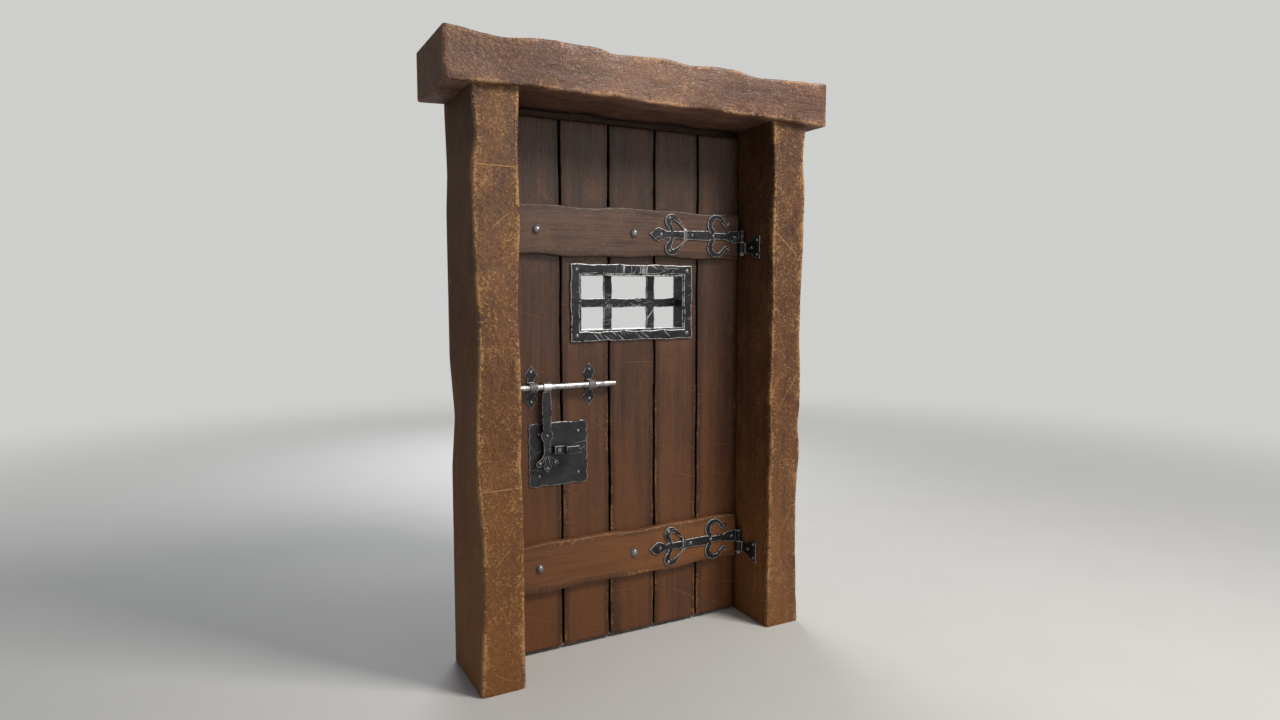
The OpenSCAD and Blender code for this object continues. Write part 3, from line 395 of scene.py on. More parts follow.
@dataclass(frozen=True)
class TimberFinish:
    """Handled wood: grain, leathery relief, pale flecks, scratches, worn arrises, and painted shade beside
    and deep in its joints.
    """

    name: str
    run: Run
    dark: Colour
    middle: Colour
    light: Colour
    worn: Colour
    lower: Colour
    lower_share: float
    grained: float
    flecked: float
    wear: float
    scratched: float
    nicked: float
    pebble: float
    rough: float
    seed: float
    worn_up: float = 1.0
    painted_arris_shade: float = 0.0
    front_y: float = 1.0
    hacked_to: float = OFF
    cuts: tuple[Cut, ...] = ()

    def stretch(self, across: float, along: float) -> Colour:
        """Noise scales across and along the grain."""
        return (across, across, along) if self.run is Run.UP else (along, across, across)

    def scratches(self, g: Surface, u: Value, v: Value) -> Value:
        """Pale strokes of several sizes, hack marks at one end, and the long cuts.

        Args:
            g: The material's graph.
            u: Place along the grain.
            v: Place across the grain.

        Returns:
            A mask that is 1 on a scratch.
        """
        nicks = self.scratched * self.nicked
        marks = g.strokes(u, v, 8.5, self.scratched, 0.0068, 3 + self.seed)
        for first, second, scale, share, width, seed, strength in (
                (v, u, 13, self.scratched * 0.8, 0.0085, 57, 0.9),
                (u, v, 4.1, self.scratched, 0.0038, 17, 0.9),
                (u, v, 21, nicks, 0.014, 29, 0.8),
                (v, u, 34, nicks, 0.022, 41, 0.7)):
            marks = marks.most(g.strokes(first, second, scale, share, width, seed + self.seed) * strength)
        if self.hacked_to > OFF:
            hacked = g.strokes(u, v, 28, 0.75, 0.06, 71, 1.2, 2.5)
            hacked = hacked.most(g.strokes(v, u, 41, 0.5, 0.07, 83, 1.2, -0.9))
            marks = marks.most(hacked * u.fall(self.hacked_to - 0.12, self.hacked_to) * 0.4)
        for cut in self.cuts:
            marks = marks.most(cut.mask(u, v))
        return marks

    def material(self) -> Material:
        """Builds the finish.

        Returns:
            The material.
        """
        g = Surface(self.name)
        shift = (self.seed, self.seed * 1.7, self.seed * 0.6)
        u, v = (g.z, g.x + g.y) if self.run is Run.UP else (g.x, g.y + g.z)
        # Patterns, from the finest to the broadest.
        pore = g.noise(self.stretch(600, 14), 2, 0.5, 0.0, shift).fall(0.3, 0.42)
        fibre = g.noise(self.stretch(240, 4), 5, 0.65, 0.0, shift)
        speck = g.noise(140, 2, 0.5, 0.2, shift)
        leather = g.noise(64, 3, 0.6, 0.6, shift)
        band = g.noise(self.stretch(30, 1.3), 4, 0.55, 0.6, shift)
        cloud = g.noise(self.stretch(12, 7), 4, 0.62, 0.4, shift)
        broad = g.noise(self.stretch(3.4, 1.6), 3, 0.5, 0.2, shift)
        wrinkle = abs(g.noise(self.stretch(95, 52), 3, 0.6, 1.4, shift) - 0.5)
        crease = wrinkle.fall(0.01, 0.06) * cloud.rise(0.34, 0.56)
        # Where hands and weather reach, and where painted shade darkens the joints.
        arris, joint_shade = g.attribute(WEAR), g.attribute(JOINT_SHADE)
        patchy = cloud.rise(0.36, 0.6) * 0.5 + 0.5
        handled = g.z.fall(0.5, 1.7) * (1 - self.worn_up) + self.worn_up
        edge = arris * patchy * handled
        front = g.y.fall(self.front_y + 0.01, self.front_y + 0.05) * 0.75 + 0.25
        # The wood itself.
        grain = (fibre * 0.62 + band * 0.38).rise(0.38, 0.62) * self.grained
        mottle = (cloud * 0.75 + leather * 0.25).rise(0.34, 0.66) * (1 - self.grained)
        colour = g.blend(grain + mottle, self.dark, self.middle)
        lighter = (broad * 0.5 + cloud * 0.4 + leather * 0.1).rise(0.45, 0.7)
        colour = g.blend(lighter * 0.75, colour, self.light)
        if self.lower_share > 0:
            low = g.z.fall(0.1, 1.9) * (band * 0.4 + broad * 0.6).rise(0.2, 0.6)
            colour = g.blend(low * self.lower_share, colour, self.lower)
        colour = g.blend(pore * 0.5 * self.grained, colour, darker(self.dark, 0.45))
        # Painted shade on the rounded arrises beside the joints, darkest on the arris itself.
        colour = g.blend(arris.rise(0.02, 0.6) * self.painted_arris_shade, colour, darker(self.dark, 0.6))
        # Pits and creases, then everything pale on top, then painted shade deep in the joints.
        spots = speck * 0.7 + leather * 0.3 + (cloud - 0.5) * 0.35
        pits = spots.fall(0.3, 0.42) * self.flecked
        colour = g.blend(pits.most(crease * self.flecked * 0.5) * 0.6, colour, darker(self.dark, 0.5))
        flecks = (spots + edge * 0.1).rise(0.64 - 0.14 * self.flecked, 0.8 - 0.14 * self.flecked)
        ragged = edge * 0.72 + (speck - 0.5) * 1.7 + (leather - 0.5) * 0.8 + (cloud - 0.5) * 0.9
        rubbed = ragged.rise(0.72 - self.wear * 0.5, 1.3 - self.wear * 0.5)
        marks = self.scratches(g, u, v) * speck.rise(0.3, 0.46)
        pale = (flecks * self.flecked * front * 0.6).most(rubbed * (0.2 + self.wear * 0.5))
        pale = pale.most(marks * front).capped()
        colour = g.blend(pale, colour, self.worn)
        # Painted shade deep in the joints, nearly black.
        colour = g.blend(joint_shade * 0.9, colour, darker(self.dark, 0.16))
        # Sides are dull behind the front arrises.
        dull = g.y.rise(self.front_y + 0.01, self.front_y + 0.022) * 0.45
        rough = self.rough + dull + (fibre - 0.5) * 0.2 + (leather - 0.5) * 0.22 + pale * 0.1
        pocked = (cloud.rise(0.36, 0.62) * 0.75 + 0.25) * self.pebble
        relief = (leather * 0.5 + speck * 0.35) * pocked + (fibre * 0.4 + band * 0.3) * self.grained
        relief = relief - marks * 0.6 - pits * 0.3 - crease * pocked * 0.2
        return g.finish(colour, rough, 0.0, relief, 0.004, 0.8)


@dataclass(frozen=True)
class Bundle:
    """Thin scratches side by side in one field of the front, given in metres and degrees from the level."""

    lean: float
    left: float
    right: float
    low: float
    high: float
    share: float
    fade: float = 0.012

    def mask(self, g: Surface, seed: float) -> Value:
        """The bundle's mask.

        Args:
            g: The material's graph.
            seed: Number that gives another pattern.

        Returns:
            A mask that is 1 on a scratch.
        """
        cosine, sine = math.cos(math.radians(self.lean)), math.sin(math.radians(self.lean))
        spot = g.add("ShaderNodeCombineXYZ", None, {
            "X": (g.z * cosine - g.x * sine) * 210, "Y": (g.x * cosine + g.z * sine) * 11, "Z": seed})
        noise = g.add("ShaderNodeTexNoise", None, {"Vector": spot.outputs[0], "Scale": 1.0, "Detail": 3.0})
        lines = Value(g, noise.outputs[0]).rise(0.68 - 0.14 * self.share, 0.8 - 0.14 * self.share)
        for place, low, high, fade in ((g.x, self.left, self.right, self.fade),
                                       (g.z, self.low, self.high, self.fade / 2)):
            lines = lines * (place.rise(low - fade, low + fade) * place.fall(high - fade, high + fade))
        return lines


@dataclass(frozen=True)
class IronFinish:
    """Forged iron, dark on its faces and bright where it is rubbed."""

    name: str
    base: Colour
    bloom: Colour
    bright: Colour
    edge: float
    scratched: float
    blotch: float
    rough: float = 0.46
    hammer: float = 0.5
    metal: float = 0.55
    bundles: tuple[Bundle, ...] = ()
    polished_from: float = -OFF

    def material(self) -> Material:
        """Builds the finish.

        Returns:
            The material.
        """
        g = Surface(self.name)
        u, v = g.x + g.y * 0.7, g.z + g.y * 0.4
        cloud = g.noise(22, 4, 0.6, 0.4)
        grit = g.noise(420, 3, 0.6)
        flow = g.noise(75, 4, 0.65, 0.8)
        dents = g.cells(58)
        edge = g.attribute(WEAR)
        rubbed = (edge * (0.45 + self.edge * 0.6) + (flow - 0.5) * 2.0 + (cloud - 0.5) * 0.8).rise(0.5, 0.85)
        patch = (flow * 0.6 + grit * 0.4).rise(0.64 - self.blotch * 0.14, 0.72 - self.blotch * 0.12)
        marks = g.strokes(u, v, 22, self.scratched, 0.016, 5.0, 1.4, 0.9)
        marks = marks.most(g.strokes(u, v, 10, self.scratched, 0.008, 11.0, 1.8, 0.7)) * grit.rise(0.38, 0.5)
        for order, bundle in enumerate(self.bundles):
            marks = marks.most(bundle.mask(g, 3.0 * order) * grit.rise(0.3, 0.46))
        bright = rubbed.most(patch * self.blotch * 1.5).most(marks * 0.85).capped()
        colour = g.blend(cloud.rise(0.36, 0.66), self.base, self.bloom)
        colour = g.blend(bright, colour, self.bright)
        rough = self.rough + (grit - 0.5) * 0.25 - bright * 0.12
        metal = self.metal - bright * 0.3
        if self.polished_from < -OFF:
            start = self.polished_from
            polish = (g.z + (flow - 0.5) * 0.02).rise(start - 0.006, start + 0.004) * cloud.rise(0.2, 0.42)
            colour = g.blend(polish, colour, self.bright)
            rough, metal = rough - polish * 0.14, metal + polish * 0.6
        height = dents * self.hammer + flow * 0.35 + grit * 0.08 - marks * 0.3
        return g.finish(colour, rough, metal, height, 0.0022, 0.5)


@dataclass(frozen=True)
class RodFinish:
    """Steel that hands and staples have polished, with dull dark patches."""

    name: str
    bright: Colour
    dull: Colour

    def material(self) -> Material:
        """Builds the finish.

        Returns:
            The material.
        """
        g = Surface(self.name)
        streak = g.noise((240, 60, 60), 4, 0.6)
        cloud = g.noise(38, 4, 0.6, 0.5)
        grit = g.noise(500, 2, 0.5)
        dull = (cloud * 0.7 + grit * 0.3).rise(0.44, 0.6)
        colour = g.blend(dull * 0.8, self.bright, self.dull)
        rough = 0.26 + dull * 0.2 + (streak - 0.5) * 0.2
        return g.finish(colour, rough, 0.95, streak * 0.4 + cloud * 0.6, 0.0012, 0.4)


LEFT_POST_WOOD = TimberFinish(
    "left_post_wood", Run.UP, dark=srgb(54, 33, 22), middle=srgb(108, 70, 43), light=srgb(146, 103, 67),
    worn=srgb(208, 160, 104), lower=srgb(140, 89, 42), lower_share=0.64, grained=0.5, flecked=0.74, wear=0.76,
    scratched=0.55, nicked=0.95, pebble=1.4, rough=0.35, seed=0.0, front_y=-0.16,
    cuts=(Cut(1.846, -0.02, -0.8, -1.0, -0.4), Cut(0.735, 0.02, -0.8, -1.0, -0.4),
          Cut(1.66, 0.9, -0.76, -0.79, -0.72), Cut(1.2, -1.3, -0.76, -0.8, -0.74),
          Cut(0.5, 1.1, -0.76, -0.8, -0.73)))
RIGHT_POST_WOOD = replace(
    LEFT_POST_WOOD, name="right_post_wood", seed=6.4,
    cuts=(Cut(0.95, 1.5, 0.45, 0.42, 0.54), Cut(1.62, -0.8, 0.47, 0.4, 0.52),
          Cut(0.42, 1.9, 0.46, 0.41, 0.5)))
LINTEL_WOOD = TimberFinish(
    "lintel_wood", Run.LEVEL, dark=srgb(74, 49, 38), middle=srgb(120, 85, 68), light=srgb(154, 117, 95),
    worn=srgb(208, 162, 114), lower=srgb(110, 80, 55), lower_share=0.0, grained=0.5, flecked=0.55, wear=0.72,
    scratched=0.45, nicked=0.8, pebble=1.15, rough=0.33, seed=3.0, front_y=-0.19, hacked_to=-0.56)
STOP_WOOD = TimberFinish(
    "stop_wood", Run.UP, dark=srgb(56, 39, 30), middle=srgb(78, 54, 40), light=srgb(98, 70, 53),
    worn=srgb(140, 98, 60), lower=srgb(90, 60, 40), lower_share=0.3, grained=0.8, flecked=0.15, wear=0.4,
    scratched=0.1, nicked=0.3, pebble=0.4, rough=0.45, seed=21.0)
PLANK_WOODS = tuple(
    TimberFinish(
        f"plank_wood_{k}", Run.UP, dark=srgb(47 + d, 33 + d, 27 + d), middle=srgb(80 + d, 57 + d, 46 + d),
        light=srgb(102 + d, 74 + d, 58 + d), worn=srgb(182, 128, 74), lower=srgb(110, 66, 35),
        lower_share=0.85, grained=0.9, flecked=0.12, wear=0.5, scratched=0.26, nicked=0.3, pebble=0.4,
        rough=0.36, seed=5.0 + 2.3 * k, worn_up=0.25, painted_arris_shade=0.55)
    for k, d in enumerate((0, 3, -3)))
BATTEN_WOOD = TimberFinish(
    "batten_wood", Run.LEVEL, dark=srgb(55, 40, 33), middle=srgb(90, 66, 53), light=srgb(112, 84, 66),
    worn=srgb(190, 140, 86), lower=srgb(130, 80, 41), lower_share=0.8, grained=0.85, flecked=0.12, wear=0.5,
    scratched=0.28, nicked=0.25, pebble=0.4, rough=0.36, seed=14.0, worn_up=0.4, painted_arris_shade=0.25)
PLATE_IRON = IronFinish(
    "plate_iron", srgb(43, 43, 46), srgb(56, 56, 59), srgb(172, 171, 170), edge=0.6, scratched=0.2,
    blotch=0.14)
HASP_IRON = replace(PLATE_IRON, name="hasp_iron", bright=srgb(184, 182, 180), edge=0.5, polished_from=1.044)
STRAP_IRON = IronFinish(
    "strap_iron", srgb(34, 34, 37), srgb(52, 52, 55), srgb(190, 188, 186), edge=0.6, scratched=0.22,
    blotch=0.4)
BAND_IRON = IronFinish(
    "band_iron", srgb(34, 34, 37), srgb(48, 48, 51), srgb(192, 192, 192), edge=0.55, scratched=0.4,
    blotch=0.16, rough=0.44, hammer=0.9,
    bundles=(Bundle(-42.0, -0.16, 0.2, 1.226, 1.272, 0.8), Bundle(86.0, -0.05, 0.1, 1.492, 1.535, 1.0),
             Bundle(-30.0, 0.1, 0.26, 1.492, 1.535, 0.6), Bundle(52.0, -0.09, 0.17, 1.275, 1.37, 0.75),
             Bundle(-24.0, -0.2, 0.26, 1.358, 1.398, 0.6)))
NAIL_IRON = IronFinish(
    "nail_iron", srgb(112, 112, 115), srgb(140, 140, 143), srgb(206, 206, 206), edge=0.7, scratched=0.2,
    blotch=0.35, rough=0.27)
ROD_STEEL = RodFinish("rod_steel", srgb(172, 170, 169), srgb(62, 60, 60))


class Relief:
    """Repeatable lattice noise for the meshes."""

    def __init__(self, seed: int) -> None:
        """Fills the lattice from a seed."""
        self.lattice = np.random.default_rng(seed).random((LATTICE, LATTICE, LATTICE))

    def at(self, points: np.ndarray) -> np.ndarray:
        """Smooth noise from 0 to 1 at points that are already scaled.

        Args:
            points: Points in lattice cells, on the last axis.

        Returns:
            One number for each point.
        """
        base = np.floor(points).astype(int)
        share = points - base
        share = share * share * (3 - 2 * share)
        total = np.zeros(points.shape[:-1])
        for corner in np.ndindex(2, 2, 2):
            weight = np.ones(points.shape[:-1])
            for axis, high in enumerate(corner):
                weight = weight * (share[..., axis] if high else 1 - share[..., axis])
            i, j, k = ((base[..., axis] + high) % LATTICE for axis, high in enumerate(corner))
            total += weight * self.lattice[i, j, k]
        return total

    def over(self, points: np.ndarray, least: float) -> np.ndarray:
        """The noise above a least value, stretched to reach 1."""
        return np.clip(self.at(points) - least, 0, 1) / (1 - least)


def lookup(table: Table, places: np.ndarray, blend: float = 0.012) -> np.ndarray:
    """Depth of a hewn edge along its length, with the table's corners worn off.

    Args:
        table: Pairs of share of the length and depth in millimetres.
        places: Shares of the length.
        blend: Share over which a corner is worn off.

    Returns:
        Depths in millimetres.
    """
    shares, depths = zip(*table)
    low, mid, high = (np.interp(places + d, shares, depths) for d in (-blend, 0.0, blend))
    return (low + 2 * mid + high) / 4


def rounded(corners: np.ndarray, radii: Sequence[float], arc: int,
            inner: int) -> tuple[np.ndarray, np.ndarray]:
    """A section with rounded corners and points along each side.

    Args:
        corners: Corners in order, in millimetres.
        radii: Radius at each corner.
        arc: Points round each corner.
        inner: Points between the two near-corner points of a side.

    Returns:
        The points, and how close each is to an arris from 0 to 1.
    """
    count = len(corners)
    points = []
    for i, here in enumerate(corners):
        follows = (i + 1) % count
        before, after = corners[i - 1], corners[follows]
        back, on = before - here, after - here
        back, on = back / np.linalg.norm(back), on / np.linalg.norm(on)
        start, end = here + back * radii[i], here + on * radii[i]
        for t in np.linspace(0, 1, arc):
            points.append((1 - t) ** 2 * start + 2 * t * (1 - t) * here + t * t * end)
        stop = after - on * radii[follows]
        span = np.linalg.norm(stop - end)
        shares = np.linspace(0.1, 0.9, inner + 4)
        if span > 30:
            lead = min(6.0, span * 0.2) / span
            shares[:2] = lead, 2.6 * lead
            shares[2:-2] = np.linspace(4.4 * lead, 1 - 4.4 * lead, inner)
            shares[-2:] = 1 - 2.6 * lead, 1 - lead
        points.extend(end + (stop - end) * share for share in shares)
    near = np.tile([1.0] * arc + [0.62, 0.3] + [0.0] * inner + [0.3, 0.62], count)
    return np.array(points), near


def sections(outlines: Iterable[list], radii: Sequence[float], arc: int = ARC,
             inner: int = INNER) -> tuple[np.ndarray, np.ndarray]:
    """Rounded sections at all the stations of a timber.

    Args:
        outlines: Corners at each station, in millimetres.
        radii: Radius at each corner.
        arc: Points round each corner.
        inner: Points between the two near-corner points of a side.

    Returns:
        The points of each section, and how close each is to an arris.
    """
    points, near = zip(*(rounded(np.array(corners), radii, arc, inner) for corners in outlines))
    return np.array(points), np.array(near)


def poured(work: bmesh.types.BMesh, name: str) -> Mesh:
    """Turns a working mesh into a finished one.

    Args:
        work: The working mesh, which is freed.
        name: Name of the finished mesh.

    Returns:
        The finished mesh.
    """
    mesh = bpy.data.meshes.new(name)
    work.to_mesh(mesh)
    work.free()
    return mesh


@dataclass
class Skin:
    """A closed skin over rings of points in metres, with its arris wear and the painted shade in its joints.
    """

    name: str
    rings: np.ndarray
    wear: np.ndarray
    joint_shade: np.ndarray | None = None

    def cap(self, first: bool) -> tuple[np.ndarray, np.ndarray]:
        """Rings that round an end off, and lead to a smaller ring on its face.

        Args:
            first: True for the first end, False for the last.

        Returns:
            The rings from the outside in, and their wear.
        """
        ring = self.rings[0 if first else -1]
        towards = (ring - self.rings[1 if first else -2]).mean(0)
        normal = towards / np.linalg.norm(towards)
        middle = ring.mean(0)
        half = np.maximum(np.abs(ring - middle).max(0), 1e-6)
        made = [middle + (ring - middle) * (1 - np.minimum(inset / half, 0.6)) - normal * back
                for inset, back, _ in END_RINGS]
        return np.array(made), np.array([np.full(len(ring), wear) for *_, wear in END_RINGS])

    def mesh(self) -> Mesh:
        """Makes the mesh with the numbers that it carries.

        Returns:
            The mesh.
        """
        head, head_wear = self.cap(True)
        tail, tail_wear = self.cap(False)
        rings = np.concatenate([head[::-1], self.rings[1:-1], tail])
        layers = {WEAR: np.concatenate([head_wear[::-1], self.wear[1:-1], tail_wear])}
        if self.joint_shade is not None:
            ends = (self.joint_shade[at].repeat(len(END_RINGS), 0) for at in (slice(0, 1), slice(-1, None)))
            layers[JOINT_SHADE] = np.concatenate([next(ends), self.joint_shade[1:-1], next(ends)])
        count, around = rings.shape[:2]
        index = np.arange(count * around).reshape(count, around)
        here, there = index[:-1], index[1:]
        quads = np.stack([here, np.roll(here, -1, 1), np.roll(there, -1, 1), there], -1)
        faces = [*quads.reshape(-1, 4).tolist(), index[0][::-1].tolist(), index[-1].tolist()]
        mesh = bpy.data.meshes.new(self.name)
        mesh.from_pydata(rings.reshape(-1, 3).tolist(), [], faces)
        for name, values in layers.items():
            layer = mesh.attributes.new(name, "FLOAT", "POINT")
            layer.data.foreach_set("value", values.reshape(-1).astype(np.float32))
        mesh.polygons.foreach_set("use_smooth", np.ones(len(mesh.polygons), bool))
        work = bmesh.new()
        work.from_mesh(mesh)
        bmesh.ops.recalc_face_normals(work, faces=work.faces)
        work.to_mesh(mesh)
        work.free()
        return mesh


@dataclass
class Workshop:
    """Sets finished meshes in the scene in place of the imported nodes. Angles in degrees."""

    frame: dict
    sharp: float = 32.0
    flat: float = 0.6

    def __post_init__(self) -> None:
        """Finds the body and the material slot of each node."""
        record = self.frame["record"]
        self.bodies = {n: b for b, members in record["behaviour"]["bodies"].items() for n in members}
        self.slots = {s["node"]: s["material_slot"] for s in record["subparts"]}

    def place(self, name: str, mesh: Mesh, node: str, finish: Material) -> Object:
        """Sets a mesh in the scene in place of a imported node.

        Args:
            name: Name of the piece.
            mesh: Its mesh in the row frame.
            node: The node that it stands for.
            finish: Its material.

        Returns:
            The piece.
        """
        piece = bpy.data.objects.new(name, mesh)
        bpy.context.scene.collection.objects.link(piece)
        mesh.materials.clear()
        mesh.materials.append(finish)
        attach(piece, self.bodies[node])
        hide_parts(node)
        LOG.info("%s: %d faces", name, len(mesh.polygons))
        return piece

    def dress(self, node: str, finish: Material) -> None:
        """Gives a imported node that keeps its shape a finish.

        Args:
            node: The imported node.
            finish: Its material.
        """
        piece = self.frame["nodes"][node]
        piece.data.materials.clear()
        piece.data.materials.append(finish)
        LOG.info("%s: dressed", node)

    def cut(self, mesh: Mesh, cutter: Mesh) -> Mesh:
        """Takes one mesh out of another.

        Args:
            mesh: The mesh that is cut.
            cutter: The closed mesh that is taken out.

        Returns:
            The cut mesh.
        """
        body, tool = (bpy.data.objects.new("cutting", m) for m in (mesh, cutter))
        for item in (body, tool):
            bpy.context.scene.collection.objects.link(item)
        saw = body.modifiers.new("saw", "BOOLEAN")
        saw.operation = "DIFFERENCE"
        saw.solver = "EXACT"
        saw.object = tool
        graph = bpy.context.evaluated_depsgraph_get()
        made = bpy.data.meshes.new_from_object(body.evaluated_get(graph))
        for item in (body, tool):
            bpy.data.objects.remove(item)
        return made

    def broken(self, node: str, finish: Material, width: float, kind: str, merge: float) -> None:
        """Breaks a node's sharp edges, marks them as worn and sets the piece in its place.

        Args:
            node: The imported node.
            finish: Its material.
            width: Width of the broken edges in millimetres.
            kind: Last word of the piece's name.
            merge: Shortest edge in millimetres that is kept.
        """
        work = bmesh.new()
        work.from_mesh(self.frame["nodes"][node].data)
        bmesh.ops.remove_doubles(work, verts=work.verts, dist=merge * MM)
        flat, least = math.radians(self.flat), math.radians(self.sharp)
        bmesh.ops.dissolve_limit(work, angle_limit=flat, verts=work.verts, edges=work.edges)
        layer = work.faces.layers.float.new(WEAR)
        sharp = [e for e in work.edges if len(e.link_faces) == 2 and e.calc_face_angle(0.0) > least]
        made = bmesh.ops.bevel(work, geom=sharp, offset=width * MM, offset_type="OFFSET", segments=2,
                               profile=0.6, affect="EDGES", clamp_overlap=False)
        for face in made["faces"]:
            face[layer] = 1.0
        for face in work.faces:
            face.smooth = True
        bmesh.ops.triangulate(work, faces=[f for f in work.faces if len(f.verts) > 4])
        mesh = poured(work, node + "_skin")
        stale = mesh.attributes.get("custom_normal")
        if stale:
            mesh.attributes.remove(stale)
        piece = self.place(f"{node}_{kind}", mesh, node, finish)
        piece.modifiers.new("face_normals", "WEIGHTED_NORMAL").keep_sharp = False


@dataclass
class HewnFrame:
    """The two posts and the lintel, hewn with an axe and worn along their arrises. Millimetres."""

    shop: Workshop
    left_x: float = -697.0
    right_x: float = 713.0
    post_w: float = 168.0
    post_d: float = 343.0
    front_y: float = -158.5
    post_top: float = 2120.0
    planed_from: float = 62.0
    planed_round: float = 14.0
    lintel_l: float = 1582.0
    lintel_d: float = 373.0
    lintel_h: float = 175.0
    opening_h: float = 2100.0
    arris: float = 8.0
    post_chip: float = 3.4
    chip_reach: float = 20.0
    lintel_chip: float = 4.2
    stations: int = 240
    bore_r: float = 15.0
    bore_deep: float = 25.0
    left_outer: Table = ((0, 0), (0.14, 16), (0.265, 17), (0.365, 0), (0.455, 1), (0.57, 15), (0.625, 13),
                         (0.745, 3), (0.85, 0), (0.885, 1), (0.912, 18), (0.99, 0))
    left_inner: Table = ((0, 2), (0.31, 3), (0.38, 9), (0.47, 2), (0.655, 13), (0.775, 0), (0.905, 8),
                         (0.985, 0))
    left_rear: Table = ((0, 0), (0.36, 2), (0.45, 16), (0.555, 0), (0.815, 0), (0.87, 6), (0.98, 0))
    right_outer: Table = ((0, 4), (0.257, 21), (0.36, 2), (0.4, 14), (0.453, 2), (0.597, 13), (0.745, 1),
                          (0.87, 0), (0.925, 14), (0.99, 0))
    right_inner: Table = ((0, 0), (0.185, 6), (0.312, 1), (0.348, 15), (0.473, 1), (0.65, 14), (0.745, 6),
                          (0.875, 9), (0.985, 0))
    right_rear: Table = ((0, 0), (0.3, 9), (0.42, 0), (0.7, 12), (0.82, 2), (0.98, 0))
    post_face: Table = ((0, 0), (0.12, 5), (0.25, 1), (0.42, 6), (0.55, 2), (0.72, 6), (0.88, 1), (0.985, 0))
    lintel_top: Table = ((0.01, 0), (0.127, 17), (0.214, 0), (0.353, 0), (0.384, 13), (0.521, 1), (0.58, 13),
                         (0.657, 1), (0.718, 0), (0.778, 18), (0.99, 0))
    lintel_under: Table = ((0.01, 0), (0.132, 8), (0.188, 12), (0.265, 8), (0.366, 10), (0.387, 17),
                           (0.458, 6), (0.587, 6), (0.65, 13), (0.717, 6), (0.792, 10), (0.99, 0))
    lintel_face: Table = ((0.01, 0), (0.1, 5), (0.24, 1), (0.4, 7), (0.55, 2), (0.7, 7), (0.86, 1), (0.99, 0))
    relief: Relief = field(default_factory=lambda: Relief(7))

    def chips(self, points: np.ndarray, near: np.ndarray, depth: float) -> np.ndarray:
        """Sinks each ring's points towards its middle: chips on the arrises, soft hollows on the faces.

        Args:
            points: Points of all rings in millimetres.
            near: How close each point is to an arris.
            depth: Deepest chip in millimetres.

        Returns:
            The moved points.
        """
        small = self.relief.over(points * 0.03, 0.52)
        fine = self.relief.over(points * 0.085 + 9.3, 0.6)
        soft = self.relief.at(points * 0.012 + 4.1) + 0.4 * self.relief.at(points * 0.04 + 2.2)
        sink = near * (depth * small + 0.45 * depth * fine) + 0.9 * soft
        inward = points.mean(1, keepdims=True) - points
        inward = inward / np.maximum(np.linalg.norm(inward, axis=-1, keepdims=True), 1e-6)
        return points + inward * sink[..., None]

    def post(self, name: str, tables: Sequence[Table], origin: float, way: float) -> Mesh:
        """One post's mesh.

        Args:
            name: Name of the mesh.
            tables: Dents along its outer front, inner front and outer back arris.
            origin: Place of its outer face along the frame.
            way: 1 if its inner face lies to the right of the outer one, or -1.

        Returns:
            The mesh.
        """
        shares = np.linspace(0, 1, self.stations)
        depths = zip(*(lookup(t, shares) for t in (*tables, self.post_face)))
        wide, deep, planed = self.post_w, self.post_d, self.planed_from
        outlines = ([[out, face], [wide - into, face], [wide, planed], [wide, deep], [back, deep]]
                    for out, into, back, face in depths)
        radii = (self.arris, self.arris, self.planed_round, self.arris, self.arris)
        section, near = sections(outlines, radii)
        # The planed inner face is sheltered, and the back arrises are less worn.
        near[:, 2 * SIDE:2 * SIDE + ARC] = 0.25
        near[:, 2 * SIDE - 2:2 * SIDE] *= 0.4
        near[:, 3 * SIDE:5 * SIDE] *= 0.7
        z = np.broadcast_to(shares[:, None] * self.post_top, near.shape)
        points = np.stack([origin + way * section[..., 0], section[..., 1] + self.front_y, z], -1)
        free = near * (points[..., 1] < self.front_y + self.planed_from + self.chip_reach)
        moved = self.chips(points, free, self.post_chip)
        inner = (np.abs(points[..., 0] - (origin + way * self.post_w)) < 0.6) & (near < 0.9)
        moved[inner] = points[inner]
        return Skin(name, moved * MM, near).mesh()

    def lintel(self) -> Mesh:
        """The lintel's mesh, with the housings for the posts left closed.

        Returns:
            The mesh.
        """
        shares = np.linspace(0, 1, self.stations)
        depths = zip(*(lookup(t, shares) for t in (self.lintel_top, self.lintel_under, self.lintel_face)))
        deep, high = self.lintel_d, self.lintel_h
        outlines = ([[face, under], [deep, under], [deep, high - top], [face, high - top]]
                    for top, under, face in depths)
        section, near = sections(outlines, (self.arris,) * 4)
        x = np.broadcast_to((shares[:, None] - 0.5) * self.lintel_l, near.shape)
        points = np.stack([x, section[..., 0] - deep / 2, section[..., 1] + self.opening_h], -1)
        moved = self.chips(points, near, self.lintel_chip)
        # The underside stays where the head stop meets it.
        rests = points[..., 2] < points[..., 2].min(1, keepdims=True) + 0.5
        rests &= points[..., 1] > -self.lintel_d / 4
        moved[rests] = points[rests]
        return Skin("lintel_skin", moved * MM, near).mesh()

    def keeper_seat(self) -> Mesh:
        """The block that the keeper's seat in the left post takes out.

        Returns:
            The closed mesh.
        """
        low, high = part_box("bolt_keeper")
        size, past = high - low, Vector((0.02, 0.0, 0.0))
        work = bmesh.new()
        made = bmesh.ops.create_cube(work, size=1.0)["verts"]
        bmesh.ops.scale(work, verts=made, vec=size + past)
        bmesh.ops.translate(work, verts=made, vec=(low + high + past) / 2)
        return poured(work, "keeper_seat")

    def bolt_bore(self) -> Mesh:
        """The round block that the rod's hole in the left post takes out.

        Returns:
            The closed mesh.
        """
        low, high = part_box("bolt_rod")
        start, end = low.x - self.bore_deep * MM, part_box("bolt_keeper")[1].x + 0.01
        place = Matrix.Translation(((start + end) / 2, (low.y + high.y) / 2, (low.z + high.z) / 2))
        radius = self.bore_r * MM
        work = bmesh.new()
        bmesh.ops.create_cone(work, cap_ends=True, segments=40, radius1=radius, radius2=radius,
                              depth=end - start, matrix=place @ Matrix.Rotation(math.pi / 2, 4, "Y"))
        return poured(work, "bolt_bore")

